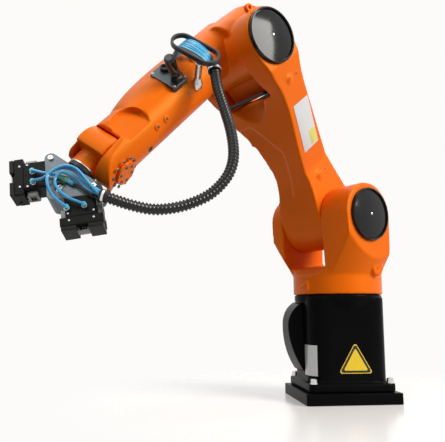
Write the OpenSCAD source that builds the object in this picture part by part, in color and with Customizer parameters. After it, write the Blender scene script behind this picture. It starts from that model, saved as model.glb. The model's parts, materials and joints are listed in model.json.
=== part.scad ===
// Six-axis industrial robot arm with a double air gripper, bolted to a square mounting plate.
// Millimetres, +Z up, turning axis of the column on Z, underside of the plate at zero.

/* [Pose] */
// Swing of the arm about the upright axis
swing = 30; // [0:1:60]
// Lean of the link arm from upright
lean = 41; // [25:1:55]
// Fall of the forearm below level
droop = 46; // [30:1:60]
// Turn of the wrist about the forearm
wrist_roll = -52; // [-80:1:-40]
// Bend of the hand at the wrist
wrist_bend = 10; // [0:1:25]

/* [Base] */
// Side of the mounting plate
plate_side = 220; // [212:1:240]
// Thickness of the mounting plate
plate_t = 25; // [20:1:32]
// Spacing of the tapped holes under the plate
plate_pitch = 160; // [140:1:176]
// Radius of the tapped holes under the plate
plate_hole_r = 5.1; // [4:0.1:6]
// Side of the foot of the base casting
foot_side = 200; // [194:1:206]
// Thickness of the foot of the base casting
foot_t = 20; // [16:1:24]
// Width of the base body
base_width = 184; // [178:1:190]
// Corner radius of the base body
base_corner = 46; // [36:1:52]
// Height of the seam between base and column above the plate
seam_h = 219; // [210:1:228]
// How far the side cover swells out of the base
hump_depth = 34; // [24:1:40]
// Length of the side cover along the base
hump_len = 96; // [86:1:106]

/* [Column] */
// Radius of the foot of the column
column_r = 106; // [102:1:110]
// Height of the column's lip in front, above the seam
lip_front = 59; // [50:1:64]
// Height of the column's rim behind, above the seam
lip_rear = 87; // [80:1:92]
// Height of the shoulder axis above the plate
shoulder_h = 400; // [394:1:412]
// Reach of the shoulder axis in front of the upright axis
shoulder_off = 25; // [20:1:30]
// Radius of the shoulder ears
ear_r = 74; // [70:1:80]
// Outer face of the ears from the middle of the arm
ear_out = 126; // [120:1:132]
// Inner face of the thick ear
ear_in_thick = 44; // [40:1:48]
// Inner face of the thin ear
ear_in_thin = 88; // [84:1:94]
// Radius of the shoulder cap
shoulder_cap_r = 61; // [54:1:64]

/* [Link arm] */
// Length between the shoulder and elbow axes
link_len = 455; // [445:1:465]
// Radius of the foot of the link arm
link_foot_r = 71; // [66:1:73]
// Front face of the link arm's waist
link_front = 29; // [24:1:32]
// Back face of the link arm above its foot
link_back = 66; // [60:1:68]
// Half breadth of the narrow side of the waist
waist_thin = 56; // [50:1:62]
// Radius of the elbow cheeks
cheek_r = 65; // [63:1:68]
// Outer face of the thick cheek
cheek_out_thick = 132; // [128:1:136]
// Inner face of the thick cheek
cheek_in_thick = 81; // [78:1:86]
// Outer face of the thin cheek
cheek_out_thin = 85; // [82:1:92]
// Inner face of the thin cheek
cheek_in_thin = 62; // [59:1:64]
// Depth of the fork below the elbow axis
saddle_drop = 107; // [103:1:112]
// Radius of the elbow cap
elbow_cap_r = 60; // [54:1:61]
// How far a round cap stands out
cap_t = 9; // [6:1:12]

/* [Forearm] */
// Rise of the forearm axis above the elbow axis
forearm_rise = 34; // [30:1:38]
// Length from the elbow axis to the wrist axis along the forearm
forearm_len = 420; // [412:1:430]
// Radius of the forearm tube
forearm_r = 52.5; // [50:0.5:54]
// Sideways offset of the tube from the forearm axis
tube_off = 12; // [8:1:14]
// Where the forearm starts to turn, from the elbow axis
forearm_start = 112; // [106:1:118]
// Radius of the thick wrist tine
tine_r_thick = 42; // [40:1:44]
// Radius of the thin wrist tine
tine_r_thin = 34; // [30:1:38]
// Inner face of each wrist tine
tine_in = 30; // [28.5:0.5:31]
// Outer radius of the corrugated conduit
conduit_r = 10.5; // [9:0.5:12]

/* [Hand and gripper] */
// Length from the wrist axis to the face of the tool flange
hand_len = 50; // [48:1:56]
// Radius of the hand barrel
hand_r = 28; // [26:0.5:28.5]
// Radius of the tool flange
flange_r = 25; // [22:1:27]
// Distance of the gripper seats from the flange centre
seat_dist = 57; // [54:1:60]
// Corner radius of the gripper bracket
bracket_corner = 11.5; // [9:0.5:13]
// Thickness of the gripper bracket
bracket_t = 56; // [50:1:60]
// Width of a gripper body
grip_width = 55; // [52:1:60]
// Length of a gripper body
grip_len = 38; // [33:1:42]
// Thickness of a gripper body
grip_t = 40; // [36:1:44]
// Width of the jaw guide
guide_width = 75; // [70:1:82]
// Length of the jaw guide
guide_len = 16; // [14:1:20]
// Width of one jaw
jaw_width = 26; // [20:1:27]
// Length of one jaw
jaw_len = 8; // [6:1:10]
// Travel of one jaw
jaw_travel = 6; // [4:1:8]
// Outer radius of an air hose
hose_r = 2.5; // [1.5:0.25:2.75]

/* [Hidden] */
$fn = 96;
eps = 0.01;
seat = 0.3;
clear = 6;
cast = [0.93, 0.36, 0.05];
black = [0.06, 0.06, 0.065];
dark = [0.12, 0.12, 0.125];
alloy = [0.62, 0.63, 0.65];
hose_blue = [0.1, 0.5, 0.8];
coupler_green = [0.3, 0.75, 0.45];

// Base
seam_z = plate_t + seam_h;
foot_top = plate_t + foot_t;
body_half = base_width / 2;
body_h = seam_z - foot_top;
plate_corner = 4;
foot_corner = 14;
plate_hole_deep = plate_t * 0.7;
ring_h = 14;
ring_r = column_r - 2;
ring_low = seam_z - ring_h;
flare_h = 40;
flare_in = flare_h / 2;
neck_gap = 1;
hump_low = foot_top + body_h * 0.09;
hump_high = seam_z - body_h * 0.08;
hump_crest = hump_low + (hump_high - hump_low) * 0.66;
hump_round = hump_depth + 5;
hump_skew = 5;
hump_back = body_half * 0.22;
panel_width = base_width * 0.58;
panel_high = body_h * 0.45;
panel_sink = 4;
panel_mid = foot_top + body_h * 0.35;
panel_play = 0.5;
panel_back = 1;
power_x = -panel_width * 0.24;
power_r = 18;
signal_x = panel_width * 0.25;
signal_r = 12;
socket_out = 16;
socket_wall = 4.5;

// Column
shoulder_z = plate_t + shoulder_h;
lip_front_z = seam_z + lip_front;
lip_rear_z = seam_z + lip_rear;
root_x = shoulder_off * 0.8;
root_z = seam_z + lip_front * 0.4;
root_r = column_r * 0.62;
flare_low = seam_z + lip_front * 0.76;
flare_z = shoulder_z - ear_r * 0.54;
flare_r = norm([ear_out, ear_r + shoulder_off]) + 1;
slot_front = link_front + 7 + clear;
slot_back = link_back + 2 + clear;
lug_out = 6;
lug_left = -24;
lug_right = 9;
lug_low = seam_z + 7;
lug_tip = seam_z + 14;
lug_high = seam_z + 30;
boss_x = -12;
boss_z = seam_z + lip_front;
boss_r = 18;
boss_out = column_r + 11;
boss_hole_r = 3;
boss_hole_deep = 8;
lean_front = 135;
lean_back = -100;
cap_rim = 5;
cap_step = 0.5;
cap_dish = 4;
cap_dome = 4.5;

// Link arm
foot_thick = ear_in_thick - seat;
foot_thin = ear_in_thin - seat;
waist_z = link_len * 0.33;
taper_top = link_len - cheek_r + 5;
thin_z = link_len * 0.66;
waist_flare = 4;
saddle = link_len - saddle_drop;
fold_front = 66;
fold_back = -210;
sweep_r = tube_off + forearm_r + clear;
link_fore = [
    [link_foot_r - 2, 10], [link_foot_r - 12, 47], [link_front + 6, link_len * 0.24],
    [link_front, waist_z], [link_front + 1, link_len * 0.48], [link_front - 1, link_len * 0.64],
    [link_front + 6, link_len * 0.75], [cheek_r - 16, link_len * 0.83], [cheek_r - 4, link_len - 28],
    [cheek_r, link_len]];
link_aft = [
    [-cheek_r, link_len], [-cheek_r + 4, link_len - 28], [-50, link_len * 0.8], [-51, link_len * 0.7],
    [-56, link_len * 0.58], [-62, link_len * 0.42], [-link_back, waist_z], [-link_back - 1, link_len * 0.2],
    [-link_foot_r + 1, 10]];
face_slant = atan((cheek_out_thick - foot_thick) / (taper_top - waist_z));
facet_deep = 2.5;
facet = [
    [-2 * waist_thin, link_len * 0.66], [-36, link_len * 0.655], [-10, link_len * 0.565], [17, link_len * 0.47],
    [-7, link_len * 0.315], [-24, link_len * 0.22], [-2 * waist_thin, link_len * 0.2]];
pad_r = 9;
pad_out = 3.5;
pad_sunk = 10;
pad_hole_r = 2.2;
pad_hole_deep = 6;
pad_pitch = 28;
pad_high = link_len * 0.787;
pad_low = link_len * 0.268;
pad_at = [
    [2, foot_thick + (pad_high - waist_z) * tan(face_slant), pad_high, face_slant],
    [-8, foot_thick, pad_low, 0]];
notch_z = link_len * 0.545;
notch_high = 14;
notch_deep = 14;
notch_out = 7;
eye_r = 9;
eye_hole_r = 4;
eye_t = 10;
eye_x = -10;
eye_z = link_len + cheek_r + 6;
eye_y = (cheek_in_thick + cheek_out_thick) / 2;

// Elbow and forearm
drum_r = cheek_r - 5;
elbow_right = cheek_in_thick - clear;
elbow_left = cheek_in_thin - clear;
elbow_top = 82;
elbow_low = -13;
elbow_round = 42;
elbow_deep = -saddle_drop;
elbow_deep_round = 8;
elbow_nose = 22;
neck_r = 55;
collar_r = 57;
collar_len = 14;
fork_back = 66;
fork_root = forearm_len - fork_back;
root_ease = 2;
tine_left = forearm_r - tube_off;
tine_right = forearm_r + tube_off;
crotch_r = 48;
hood_front = 12;
drum_play = 2;
drum_hand_r = crotch_r - drum_play;
crotch_back = hand_r + clear;
scoop_x = fork_root - 2;
scoop_y = 24;
scoop_r = 36;
scoop_front = 34;
scoop_floor = drum_hand_r - 6;
cover_r = 24;
cover_t = 5;
cover_thin_r = 17;
cover_thin_t = 2;
panel_x = 214;
panel_y = 7;
plate_len = 44;
plate_wide = 62;
plate_corner_r = 5;
plate_top = forearm_r + 7;
plug_at = [panel_x - 2, panel_y + 17];
plug_r = 9;
plug_len = 46;
plug_lean = 25;
nut_r = 11.5;
nut_h = 12;
jack_at = [panel_x - 8, panel_y - 17];
jack_r = 9;
jack_h = 7;
jack_wall = 3.5;
ring_mid = [156, 25, 92];
ring_long = 30;
ring_end_r = 24;
ring_bar = 5;
ring_tall = 10;
post_r = 7;
post_side = ring_end_r - ring_bar / 2;
post_back = ring_long * 0.45;
post_front = ring_long * 0.85;
post_at = [
    [ring_mid[0] - post_side, ring_mid[1] - post_back],
    [ring_mid[0] + post_side, ring_mid[1] + post_front]];
clamp_len = 18;
clamp_wall = 3;

// Hand, bracket and grippers
hand_gap = 1;
flange_t = 8;
bracket_top = grip_t / 2;
nose_x = (seat_dist - bracket_corner) * sqrt(2);
lobe_x = bracket_corner;
lobe_y = nose_x - lobe_x;
bracket_edge = bracket_corner - 0.02;
bracket_slant = bracket_edge / sqrt(2);
pocket_x = nose_x * 0.72;
pocket_r = 9;
pocket_deep = 8;
grip_back = seat_dist + grip_len;
guide_end = grip_back + guide_len;
groove_t = grip_t * 0.4;
groove_deep = 6;
grip_round = 3;
guide_round = 2;
tongue_play = 0.5;
jaw_t = grip_t;
block_play = 1;
block_width = 18;
fitting_along = seat_dist + grip_len * 0.55;
fitting_r = 4;
fitting_h = 8;
fitting_ports = [[-45, -5], [-45, 17], [45, -23], [45, 7]];
gland_len = 16;
gland_wall = 1;
strap_t = 4;
strap_in = 2;
strap_end = [21, 76];
coupler_r = 5;
coupler_len = 34;
coupler_at = [31, -14, bracket_top + coupler_r + seat];
coupler_end = coupler_at + [-2, coupler_len, 0];
lead_r = 1.5;

// Route of the conduit in the frame of the forearm, from the hose ring to the bracket
conduit_low_tool = [18, 90, bracket_top + conduit_r + 2.3];
conduit_low = [
    forearm_len + cos(wrist_bend) * (hand_len + conduit_low_tool[0]) + sin(wrist_bend) * conduit_low_tool[2],
    conduit_low_tool[1],
    cos(wrist_bend) * conduit_low_tool[2] - sin(wrist_bend) * (hand_len + conduit_low_tool[0])];
conduit_path = [
    [162, 78, 76], [193, 108, 70], [225, 146, 64], [256, 181, 59], [287, 209, 52], [315, 225, 46],
    [345, 231, 39], [382, 226, 31], [417, 208, 24], [445, 186, 21],
    conduit_low + [-28, 70, -3], conduit_low + [-12, 36, -2], conduit_low];

// Routes of the hoses through the ring, in the frame of the forearm
ring_step = 3 * hose_r;
ring_routes = [
    for (k = [-1.5 : 1 : 1.5])
        [
            [150 + k * ring_step, -16, 36], [149 + k * ring_step, -19, 66], [152 + k * ring_step, -6, 92],
            [156 + k * ring_step, 20, 103 - abs(k)], [156 + k * ring_step * 0.8, 46, 97],
            [152 + k * ring_step * 0.7, 62, 83 + k], [154 + k * ring_step * 0.6, 72, 77 + k]]];

// Routes of the air hoses and of the lead over the bracket, in the frame of the tool
hose_z = bracket_top + fitting_h;
hose_routes = [
    [port_top(0), [44, -36, hose_z + 2], coupler_at],
    [port_top(1), [54, -28, hose_z + 6], [32, -22, hose_z + 8], [18, -11, hose_z + 8],
        [12, 10, hose_z + 8], [17, 36, hose_z + 7], [18, 57, hose_z + 8.5], [18, 77, hose_z + 9.5]],
    [port_top(2), [72, 15, hose_z + 8], [63, -6, hose_z + 13], [47, -20, hose_z + 14], [29, -17, hose_z + 15],
        [15, -7, hose_z + 15], [9, 13, hose_z + 14], [16, 42, hose_z + 14], [21, 60, hose_z + 14],
        [25, 77, hose_z + 11.5]],
    [port_top(3), [58, 32, hose_z + 6], [55, 6, hose_z + 8], [45, -7, hose_z + 9], [30, -9, hose_z + 10],
        [23, 2, hose_z + 9], [21, 24, hose_z + 4], [25, 44, hose_z + 3], [24, 60, hose_z + 3.5],
        [21, 77, hose_z + 3.5]]];
lead_route = [coupler_end, coupler_end + [1, 14, 2], [31, 52, hose_z - 1], [29, 77, hose_z + 3]];
function port_top(i) =
    let (t = fitting_ports[i][0], side = fitting_ports[i][1])
        [fitting_along * cos(t) - side * sin(t), fitting_along * sin(t) + side * cos(t), hose_z];

// Points along a smooth curve through hand-set points
function curve(p, k) = [
    for (i = [0 : len(p) - 2])
        for (j = [0 : k - 1])
            spline(p[max(i - 1, 0)], p[i], p[i + 1], p[min(i + 2, len(p) - 1)], j / k),
    p[len(p) - 1]];
function spline(a, b, c, d, t) =
    0.5 * (2 * b + (c - a) * t + (2 * a - 5 * b + 4 * c - d) * t * t + (3 * b - a - 3 * c + d) * t * t * t);
function unit(v) = v / norm(v);
function heading(p, i) = unit(p[min(i + 1, len(p) - 1)] - p[max(i - 1, 0)]);
function ring(c, t, side, r, n) =
    let (u = unit(cross(t, side)), v = cross(u, t))
        [for (k = [0 : n - 1]) c + r * (cos(360 * k / n) * u + sin(360 * k / n) * v)];
function tube_points(p, side, r, n) =
    [for (i = [0 : len(p) - 1]) each ring(p[i], heading(p, i), side, r, n)];
function tube_walls(m, n) = [
    for (i = [0 : m - 2])
        for (k = [0 : n - 1])
            each [
                [i * n + k, i * n + (k + 1) % n, (i + 1) * n + k],
                [i * n + (k + 1) % n, (i + 1) * n + (k + 1) % n, (i + 1) * n + k]]];
function tube_faces(m, n) = concat(
    tube_walls(m, n),
    [[for (k = [n - 1 : -1 : 0]) k]],
    [[for (k = [0 : n - 1]) (m - 1) * n + k]]);
function floor_z(x) = lip_rear_z + (lip_front_z - lip_rear_z) * (x + column_r) / (2 * column_r);

// Round bar along hand-set points
module tube(p, side, r, n, k) {
    path = curve(p, k);
    polyhedron(tube_points(path, side, r, n), tube_faces(len(path), n));
}

// Rectangle with round corners
module rounded(w, d, r) {
    square([w - 2 * r, d], center = true);
    square([w, d - 2 * r], center = true);
    for (x = [-1, 1])
        for (y = [-1, 1])
            translate([x * (w / 2 - r), y * (d / 2 - r)])
                circle(r);
}

// Outline of two discs and the belt round them
module belt(a, ra, b, rb) {
    d = norm(b - a);
    dir = atan2(b[1] - a[1], b[0] - a[0]);
    open = acos((ra - rb) / d);
    translate(a)
        circle(ra);
    translate(b)
        circle(rb);
    polygon([
        a + ra * [cos(dir + open), sin(dir + open)],
        a + ra * [cos(dir - open), sin(dir - open)],
        b + rb * [cos(dir - open), sin(dir - open)],
        b + rb * [cos(dir + open), sin(dir + open)]]);
}

// Extrusion of an outline in X and Z along Y, from one Y to another
module across(y0, y1) {
    translate([0, y1, 0])
        rotate([90, 0, 0])
            linear_extrude(y1 - y0)
                children();
}

// Extrusion of an outline in Y and Z along X, from one X to another
module along(x0, x1) {
    translate([x0, 0, 0])
        rotate([90, 0, 90])
            linear_extrude(x1 - x0)
                children();
}

// Bar along Y
module pin_y(r, y0, y1) {
    translate([0, y1, 0])
        rotate([90, 0, 0])
            cylinder(r = r, h = y1 - y0);
}

// Bar along X
module pin_x(r, x0, x1) {
    translate([x0, 0, 0])
        rotate([0, 90, 0])
            cylinder(r = r, h = x1 - x0);
}

// Bar along a line from a point
module bar_from(p, dir, r, h) {
    translate(p)
        rotate([0, acos(dir[2]), atan2(dir[1], dir[0])])
            cylinder(r = r, h = h);
}

// Places of the links, each in the frame of the one before
module at_column() {
    rotate([0, 0, 180 + swing])
        children();
}
module at_shoulder() {
    translate([shoulder_off, 0, shoulder_z])
        children();
}
module at_link() {
    at_column()
        at_shoulder()
            rotate([0, lean, 0])
                children();
}
module at_elbow() {
    at_link()
        translate([0, 0, link_len])
            rotate([0, droop - lean, 0])
                children();
}
module at_forearm() {
    at_elbow()
        translate([0, 0, forearm_rise])
            rotate([wrist_roll, 0, 0])
                children();
}
module at_hand() {
    at_forearm()
        translate([forearm_len, 0, 0])
            rotate([0, wrist_bend, 0])
                children();
}
module at_tool() {
    at_hand()
        translate([hand_len, 0, 0])
            children();
}
module at_grip(turn) {
    at_tool()
        rotate([0, 0, turn])
            children();
}

// Square plate with four tapped holes in its underside
module mounting_plate() {
    color(black)
        difference() {
            linear_extrude(plate_t)
                rounded(plate_side, plate_side, plate_corner);
            for (x = [-1, 1])
                for (y = [-1, 1])
                    translate([x * plate_pitch / 2, y * plate_pitch / 2, -eps])
                        cylinder(r = plate_hole_r, h = plate_hole_deep);
        }
}

// Black base casting: square foot, round-cornered body and the round seat of the column
module base_frame() {
    color(black)
        difference() {
            union() {
                translate([0, 0, plate_t])
                    linear_extrude(foot_t)
                        rounded(foot_side, foot_side, foot_corner);
                translate([0, 0, foot_top - eps])
                    linear_extrude(body_h - ring_h / 2)
                        rounded(base_width, base_width, base_corner);
                base_flare(0);
            }
            translate([-panel_width / 2, body_half - panel_sink, panel_mid - panel_high / 2])
                cube([panel_width, 2 * panel_sink, panel_high]);
        }
}

// Round seat of the column with its flare, grown by a margin
module base_flare(margin) {
    rotate_extrude()
        polygon([
            [0, ring_low - flare_h - margin], [ring_r - flare_in + margin, ring_low - flare_h - margin],
            [ring_r + margin, ring_low - margin], [ring_r + margin, seam_z - neck_gap], [0, seam_z - neck_gap]]);
}

// Smooth cover that swells out of the side of the base, its crest above the middle
module side_cover() {
    rise = hump_crest - hump_low;
    fall = hump_high - hump_crest;
    low_r = (rise * rise + hump_depth * hump_depth) / (2 * hump_depth);
    high_r = (fall * fall + hump_depth * hump_depth) / (2 * hump_depth);
    color(dark)
        difference() {
            translate([-body_half, hump_back, 0])
                intersection() {
                    across(-hump_len / 2, hump_len / 2) {
                        intersection() {
                            translate([low_r - hump_depth, hump_crest])
                                circle(low_r);
                            translate([-hump_depth, hump_low])
                                square([hump_depth, rise + eps]);
                        }
                        intersection() {
                            translate([high_r - hump_depth, hump_crest])
                                circle(high_r);
                            translate([-hump_depth, hump_crest])
                                square([hump_depth, fall]);
                        }
                    }
                    linear_extrude(seam_z)
                        belt(
                            [0, hump_round - hump_len / 2], hump_round,
                            [-hump_skew, hump_len / 2 - hump_round], hump_round);
                }
            base_flare(seat);
        }
}

// Recessed panel on the back of the base
module socket_panel() {
    color(alloy)
        translate([0, body_half - panel_sink, panel_mid])
            rotate([-90, 0, 0])
                linear_extrude(panel_sink - panel_back)
                    difference() {
                        square([panel_width - 2 * panel_play, panel_high - 2 * panel_play], center = true);
                        translate([power_x, 0])
                            circle(power_r);
                        translate([signal_x, 0])
                            circle(signal_r);
                    }
}

// Round inlet with an open mouth, its seat at zero and its mouth along +Y
module inlet(r) {
    rotate([-90, 0, 0])
        difference() {
            cylinder(r = r - seat, h = socket_out);
            translate([0, 0, panel_sink])
                cylinder(r = r - socket_wall, h = socket_out);
        }
}
module power_socket() {
    color(black)
        translate([power_x, body_half - panel_sink, panel_mid])
            inlet(power_r);
}
module signal_socket() {
    color(black)
        translate([signal_x, body_half - panel_sink, panel_mid])
            inlet(signal_r);
}

// Turning column: round foot with a sloping top that grows into the two shoulder ears
module rotating_column() {
    color(cast)
        at_column()
            difference() {
                union() {
                    intersection() {
                        translate([0, 0, seam_z])
                            cylinder(r = column_r, h = 2 * lip_rear);
                        across(-column_r, column_r)
                            polygon([
                                [-column_r, seam_z], [column_r, seam_z],
                                [column_r, floor_z(column_r)], [-column_r, floor_z(-column_r)]]);
                    }
                    intersection() {
                        across(-ear_out, ear_out)
                            belt([shoulder_off, shoulder_z], ear_r, [root_x, root_z], root_r);
                        rotate_extrude()
                            polygon([
                                [0, seam_z], [column_r, seam_z], [column_r, flare_low], [flare_r, flare_z],
                                [flare_r, shoulder_z + ear_r], [0, shoulder_z + ear_r]]);
                    }
                    along(column_r - lug_out, column_r + lug_out)
                        polygon([[lug_left, lug_tip], [lug_right, lug_high], [lug_right, lug_low]]);
                    translate([boss_x, 0, boss_z])
                        pin_y(boss_r, column_r / 2, boss_out);
                }
                shoulder_slot();
                translate([boss_x, 0, boss_z])
                    pin_y(boss_hole_r, boss_out - boss_hole_deep, ear_out);
            }
}

// Room between the ears, with the floor and the two ends that the leaning link arm needs
module shoulder_slot() {
    far = 2 * column_r;
    across(-ear_in_thin, ear_in_thick) {
        polygon([
            [-far, floor_z(-far)], [far, floor_z(far)],
            [far, shoulder_z + far], [-far, shoulder_z + far]]);
        translate([shoulder_off, shoulder_z]) {
            circle(link_foot_r + clear);
            rotate(-lean_front)
                translate([0, link_foot_r])
                    square([slot_front, far]);
            rotate(-lean_back)
                translate([-slot_back, link_foot_r])
                    square([slot_back, far]);
        }
    }
}

// Domed round cap on an outer face, its seat at zero and its crown along +Y
module round_cap(r) {
    crown = r - cap_rim - 1;
    bulge = (crown * crown + cap_dome * cap_dome) / (2 * cap_dome);
    color(black)
        rotate([-90, 0, 0]) {
            difference() {
                cylinder(r = r, h = cap_t);
                translate([0, 0, cap_t - cap_dish])
                    cylinder(r = r - cap_rim, h = cap_t);
            }
            intersection() {
                translate([0, 0, cap_t + cap_step + cap_dome - cap_dish - bulge])
                    sphere(r = bulge);
                cylinder(r = crown, h = cap_t + cap_dome);
            }
        }
}
module shoulder_cap_right() {
    at_column()
        at_shoulder()
            translate([0, ear_out, 0])
                round_cap(shoulder_cap_r);
}
module shoulder_cap_left() {
    at_column()
        at_shoulder()
            translate([0, -ear_out, 0])
                rotate([0, 0, 180])
                    round_cap(shoulder_cap_r);
}

// Link arm: foot drum in the shoulder, curved waist, and the fork of the elbow
module link_arm() {
    color(cast)
        at_link()
            difference() {
                union() {
                    link_body();
                    for (p = pad_at)
                        pad_place(p)
                            translate([0, 0, -pad_sunk])
                                cylinder(r = pad_r, h = pad_sunk + pad_out);
                    translate([link_front - notch_deep, -waist_thin - 2 * notch_out, notch_z])
                        cube([notch_deep + notch_out / 2, 2 * notch_out, notch_high]);
                }
                for (p = pad_at)
                    pad_place(p)
                        for (x = [0, -pad_pitch])
                            translate([x, 0, -pad_hole_deep])
                                cylinder(r = pad_hole_r, h = 2 * pad_hole_deep);
                intersection() {
                    along(0, 2 * link_foot_r)
                        polygon(facet);
                    across(-2 * waist_thin, cheek_out_thick)
                        polygon(concat(
                            curve([for (p = link_fore) p - [facet_deep, 0]], 4),
                            [[2 * link_foot_r, link_len], [2 * link_foot_r, 0]]));
                }
                across(-cheek_in_thin, cheek_in_thick)
                    translate([-3 * cheek_r, saddle])
                        square([6 * cheek_r, link_len]);
                for (fold = [fold_front, fold_back])
                    translate([0, 0, link_len])
                        rotate([0, fold, 0])
                            translate([0, 0, forearm_rise]) {
                                pin_x(neck_r + clear, 0, forearm_start);
                                pin_x(sweep_r, forearm_start - clear, 2 * link_len);
                            }
            }
}

// Outline of the link arm from the side, within its outline from the front
module link_body() {
    intersection() {
        across(-ear_in_thin, cheek_out_thick) {
            circle(link_foot_r);
            polygon(concat(curve(link_fore, 4), curve(link_aft, 4)));
            translate([0, link_len])
                circle(cheek_r);
        }
        along(-2 * link_foot_r, 2 * link_foot_r)
            polygon([
                [-foot_thin, -link_foot_r], [foot_thick, -link_foot_r], [foot_thick, waist_z],
                [cheek_out_thick, taper_top], [cheek_out_thick, link_len + cheek_r],
                [-cheek_out_thin, link_len + cheek_r], [-cheek_out_thin, thin_z],
                [-waist_thin - waist_flare, link_len * 0.53], [-waist_thin, link_len * 0.46],
                [-waist_thin, link_len * 0.38], [-waist_thin - waist_flare, waist_z],
                [-foot_thin, link_len * 0.15]]);
    }
}

// Place of a screw pad on the thick side of the link arm
module pad_place(p) {
    translate([p[0], p[1], p[2]])
        rotate([-90 - p[3], 0, 0])
            children();
}
module elbow_cap_right() {
    at_link()
        translate([0, cheek_out_thick, link_len])
            round_cap(elbow_cap_r);
}
module elbow_cap_left() {
    at_link()
        translate([0, -cheek_out_thin, link_len])
            rotate([0, 0, 180])
                round_cap(elbow_cap_r);
}

// Lifting eye on top of the thick cheek
module lifting_eye() {
    color(cast)
        at_link()
            translate([0, eye_y, 0])
                difference() {
                    across(-eye_t / 2, eye_t / 2)
                        belt([eye_x, eye_z], eye_r, [eye_x, eye_z - 2 * eye_r], eye_r);
                    across(-eye_t, eye_t) {
                        translate([eye_x, eye_z])
                            circle(eye_hole_r);
                        translate([0, link_len])
                            circle(cheek_r);
                    }
                }
}

// Elbow housing: drum between the cheeks, the motor block and the round neck of the forearm
module elbow_housing() {
    color(cast)
        at_elbow() {
            pin_y(drum_r, -cheek_in_thin + seat, cheek_in_thick - seat);
            translate([0, 0, forearm_rise])
                pin_x(neck_r, 0, forearm_start - neck_gap);
            intersection() {
                across(-elbow_left, elbow_right)
                    circle(saddle_drop - clear);
                translate([0, (elbow_right - elbow_left) / 2, 0])
                    union() {
                        translate([0, 0, (elbow_top + elbow_low) / 2])
                            along(-saddle_drop, saddle_drop / 3)
                                rounded(elbow_right + elbow_left, elbow_top - elbow_low, elbow_round);
                        translate([0, 0, elbow_deep / 2 + elbow_deep_round])
                            along(-saddle_drop, elbow_nose)
                                rounded(
                                    elbow_right + elbow_left, 2 * elbow_deep_round - elbow_deep,
                                    elbow_deep_round);
                    }
            }
        }
}

// Turning forearm: collar on the axis, offset tube, and the two unlike tines of the wrist
module forearm() {
    color(cast)
        at_forearm()
            difference() {
                union() {
                    pin_x(collar_r, forearm_start, forearm_start + collar_len);
                    translate([0, tube_off, 0])
                        pin_x(forearm_r, forearm_start + collar_len / 2, fork_root);
                    intersection() {
                        translate([0, tube_off, 0])
                            pin_x(forearm_r, fork_root - forearm_r, forearm_len + tine_r_thick);
                        union() {
                            across(-tine_left, 0)
                                belt([fork_root, 0], forearm_r - root_ease, [forearm_len, 0], tine_r_thin);
                            across(-eps, tine_right)
                                belt([fork_root, 0], forearm_r - root_ease, [forearm_len, 0], tine_r_thick);
                        }
                    }
                }
                translate([forearm_len, 0, 0])
                    across(-tine_in, tine_in) {
                        circle(crotch_r);
                        translate([-crotch_back, -2 * crotch_r])
                            square(4 * crotch_r);
                    }
                translate([scoop_x, scoop_y, scoop_floor])
                    linear_extrude(forearm_r)
                        intersection() {
                            circle(scoop_r);
                            translate([-scoop_r, -scoop_r])
                                square([scoop_r + scoop_front, 2 * scoop_r]);
                        }
            }
}

// Round covers on the outer faces of the wrist tines
module wrist_cover_right() {
    color(cast)
        at_forearm()
            translate([forearm_len, 0, 0])
                pin_y(cover_r, tine_right, tine_right + cover_t);
}
module wrist_cover_left() {
    color(cast)
        at_forearm()
            translate([forearm_len, 0, 0])
                pin_y(cover_thin_r, -tine_left - cover_thin_t, -tine_left);
}

// Room of the forearm tube, for what is seated on it
module tube_room() {
    translate([0, tube_off, 0])
        pin_x(forearm_r, 0, forearm_len);
}

// Metal panel on the forearm that carries the connectors
module connector_panel() {
    color(alloy)
        at_forearm()
            difference() {
                translate([panel_x, panel_y, 0])
                    linear_extrude(plate_top)
                        rounded(plate_len, plate_wide, plate_corner_r);
                tube_room();
            }
}

// Upper connector: nut on the panel and a long shell that leans toward the wrist
module connector_upper() {
    color(black)
        at_forearm()
            translate([plug_at[0], plug_at[1], plate_top]) {
                cylinder(r = nut_r, h = nut_h);
                translate([0, 0, nut_h / 2])
                    rotate([0, plug_lean, 0])
                        cylinder(r = plug_r, h = plug_len);
            }
}

// Lower connector: short open jack on the panel
module connector_lower() {
    color(black)
        at_forearm()
            translate([jack_at[0], jack_at[1], plate_top])
                difference() {
                    cylinder(r = jack_r, h = jack_h);
                    translate([0, 0, jack_wall])
                        cylinder(r = jack_r - jack_wall, h = jack_h);
                }
}

// Oval ring that gathers the air hoses over the forearm
module hose_ring() {
    color(black)
        at_forearm()
            translate(ring_mid)
                linear_extrude(ring_tall)
                    difference() {
                        belt([0, -ring_long], ring_end_r, [0, ring_long], ring_end_r);
                        belt([0, -ring_long], ring_end_r - ring_bar, [0, ring_long], ring_end_r - ring_bar);
                    }
}

// Two posts that carry the ring
module ring_standoffs() {
    color(alloy)
        at_forearm()
            for (p = post_at)
                difference() {
                    translate([p[0], p[1], 0])
                        cylinder(r = post_r, h = ring_mid[2]);
                    tube_room();
                }
}

// Clamp that hangs the upper end of the conduit from the ring
module conduit_clamp() {
    back = -heading(curve(conduit_path, 3), 0);
    color(alloy)
        at_forearm() {
            bar_from(conduit_path[0], back, conduit_r + clamp_wall, clamp_len);
            translate(conduit_path[0] + back * clamp_len / 2)
                cylinder(r = post_r, h = ring_mid[2] - conduit_path[0][2] - back[2] * clamp_len / 2);
        }
}

// Free corrugated conduit from the ring to the gripper
module conduit() {
    color(black)
        at_forearm()
            tube(conduit_path, [0, 0, 1], conduit_r, 10, 3);
}

// Blue hoses that come out of the forearm, arch through the ring and go into the clamp
module ring_hoses() {
    color(hose_blue)
        at_forearm()
            for (route = ring_routes)
                tube(route, [1, 0, 0], hose_r, 8, 4);
}

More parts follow.
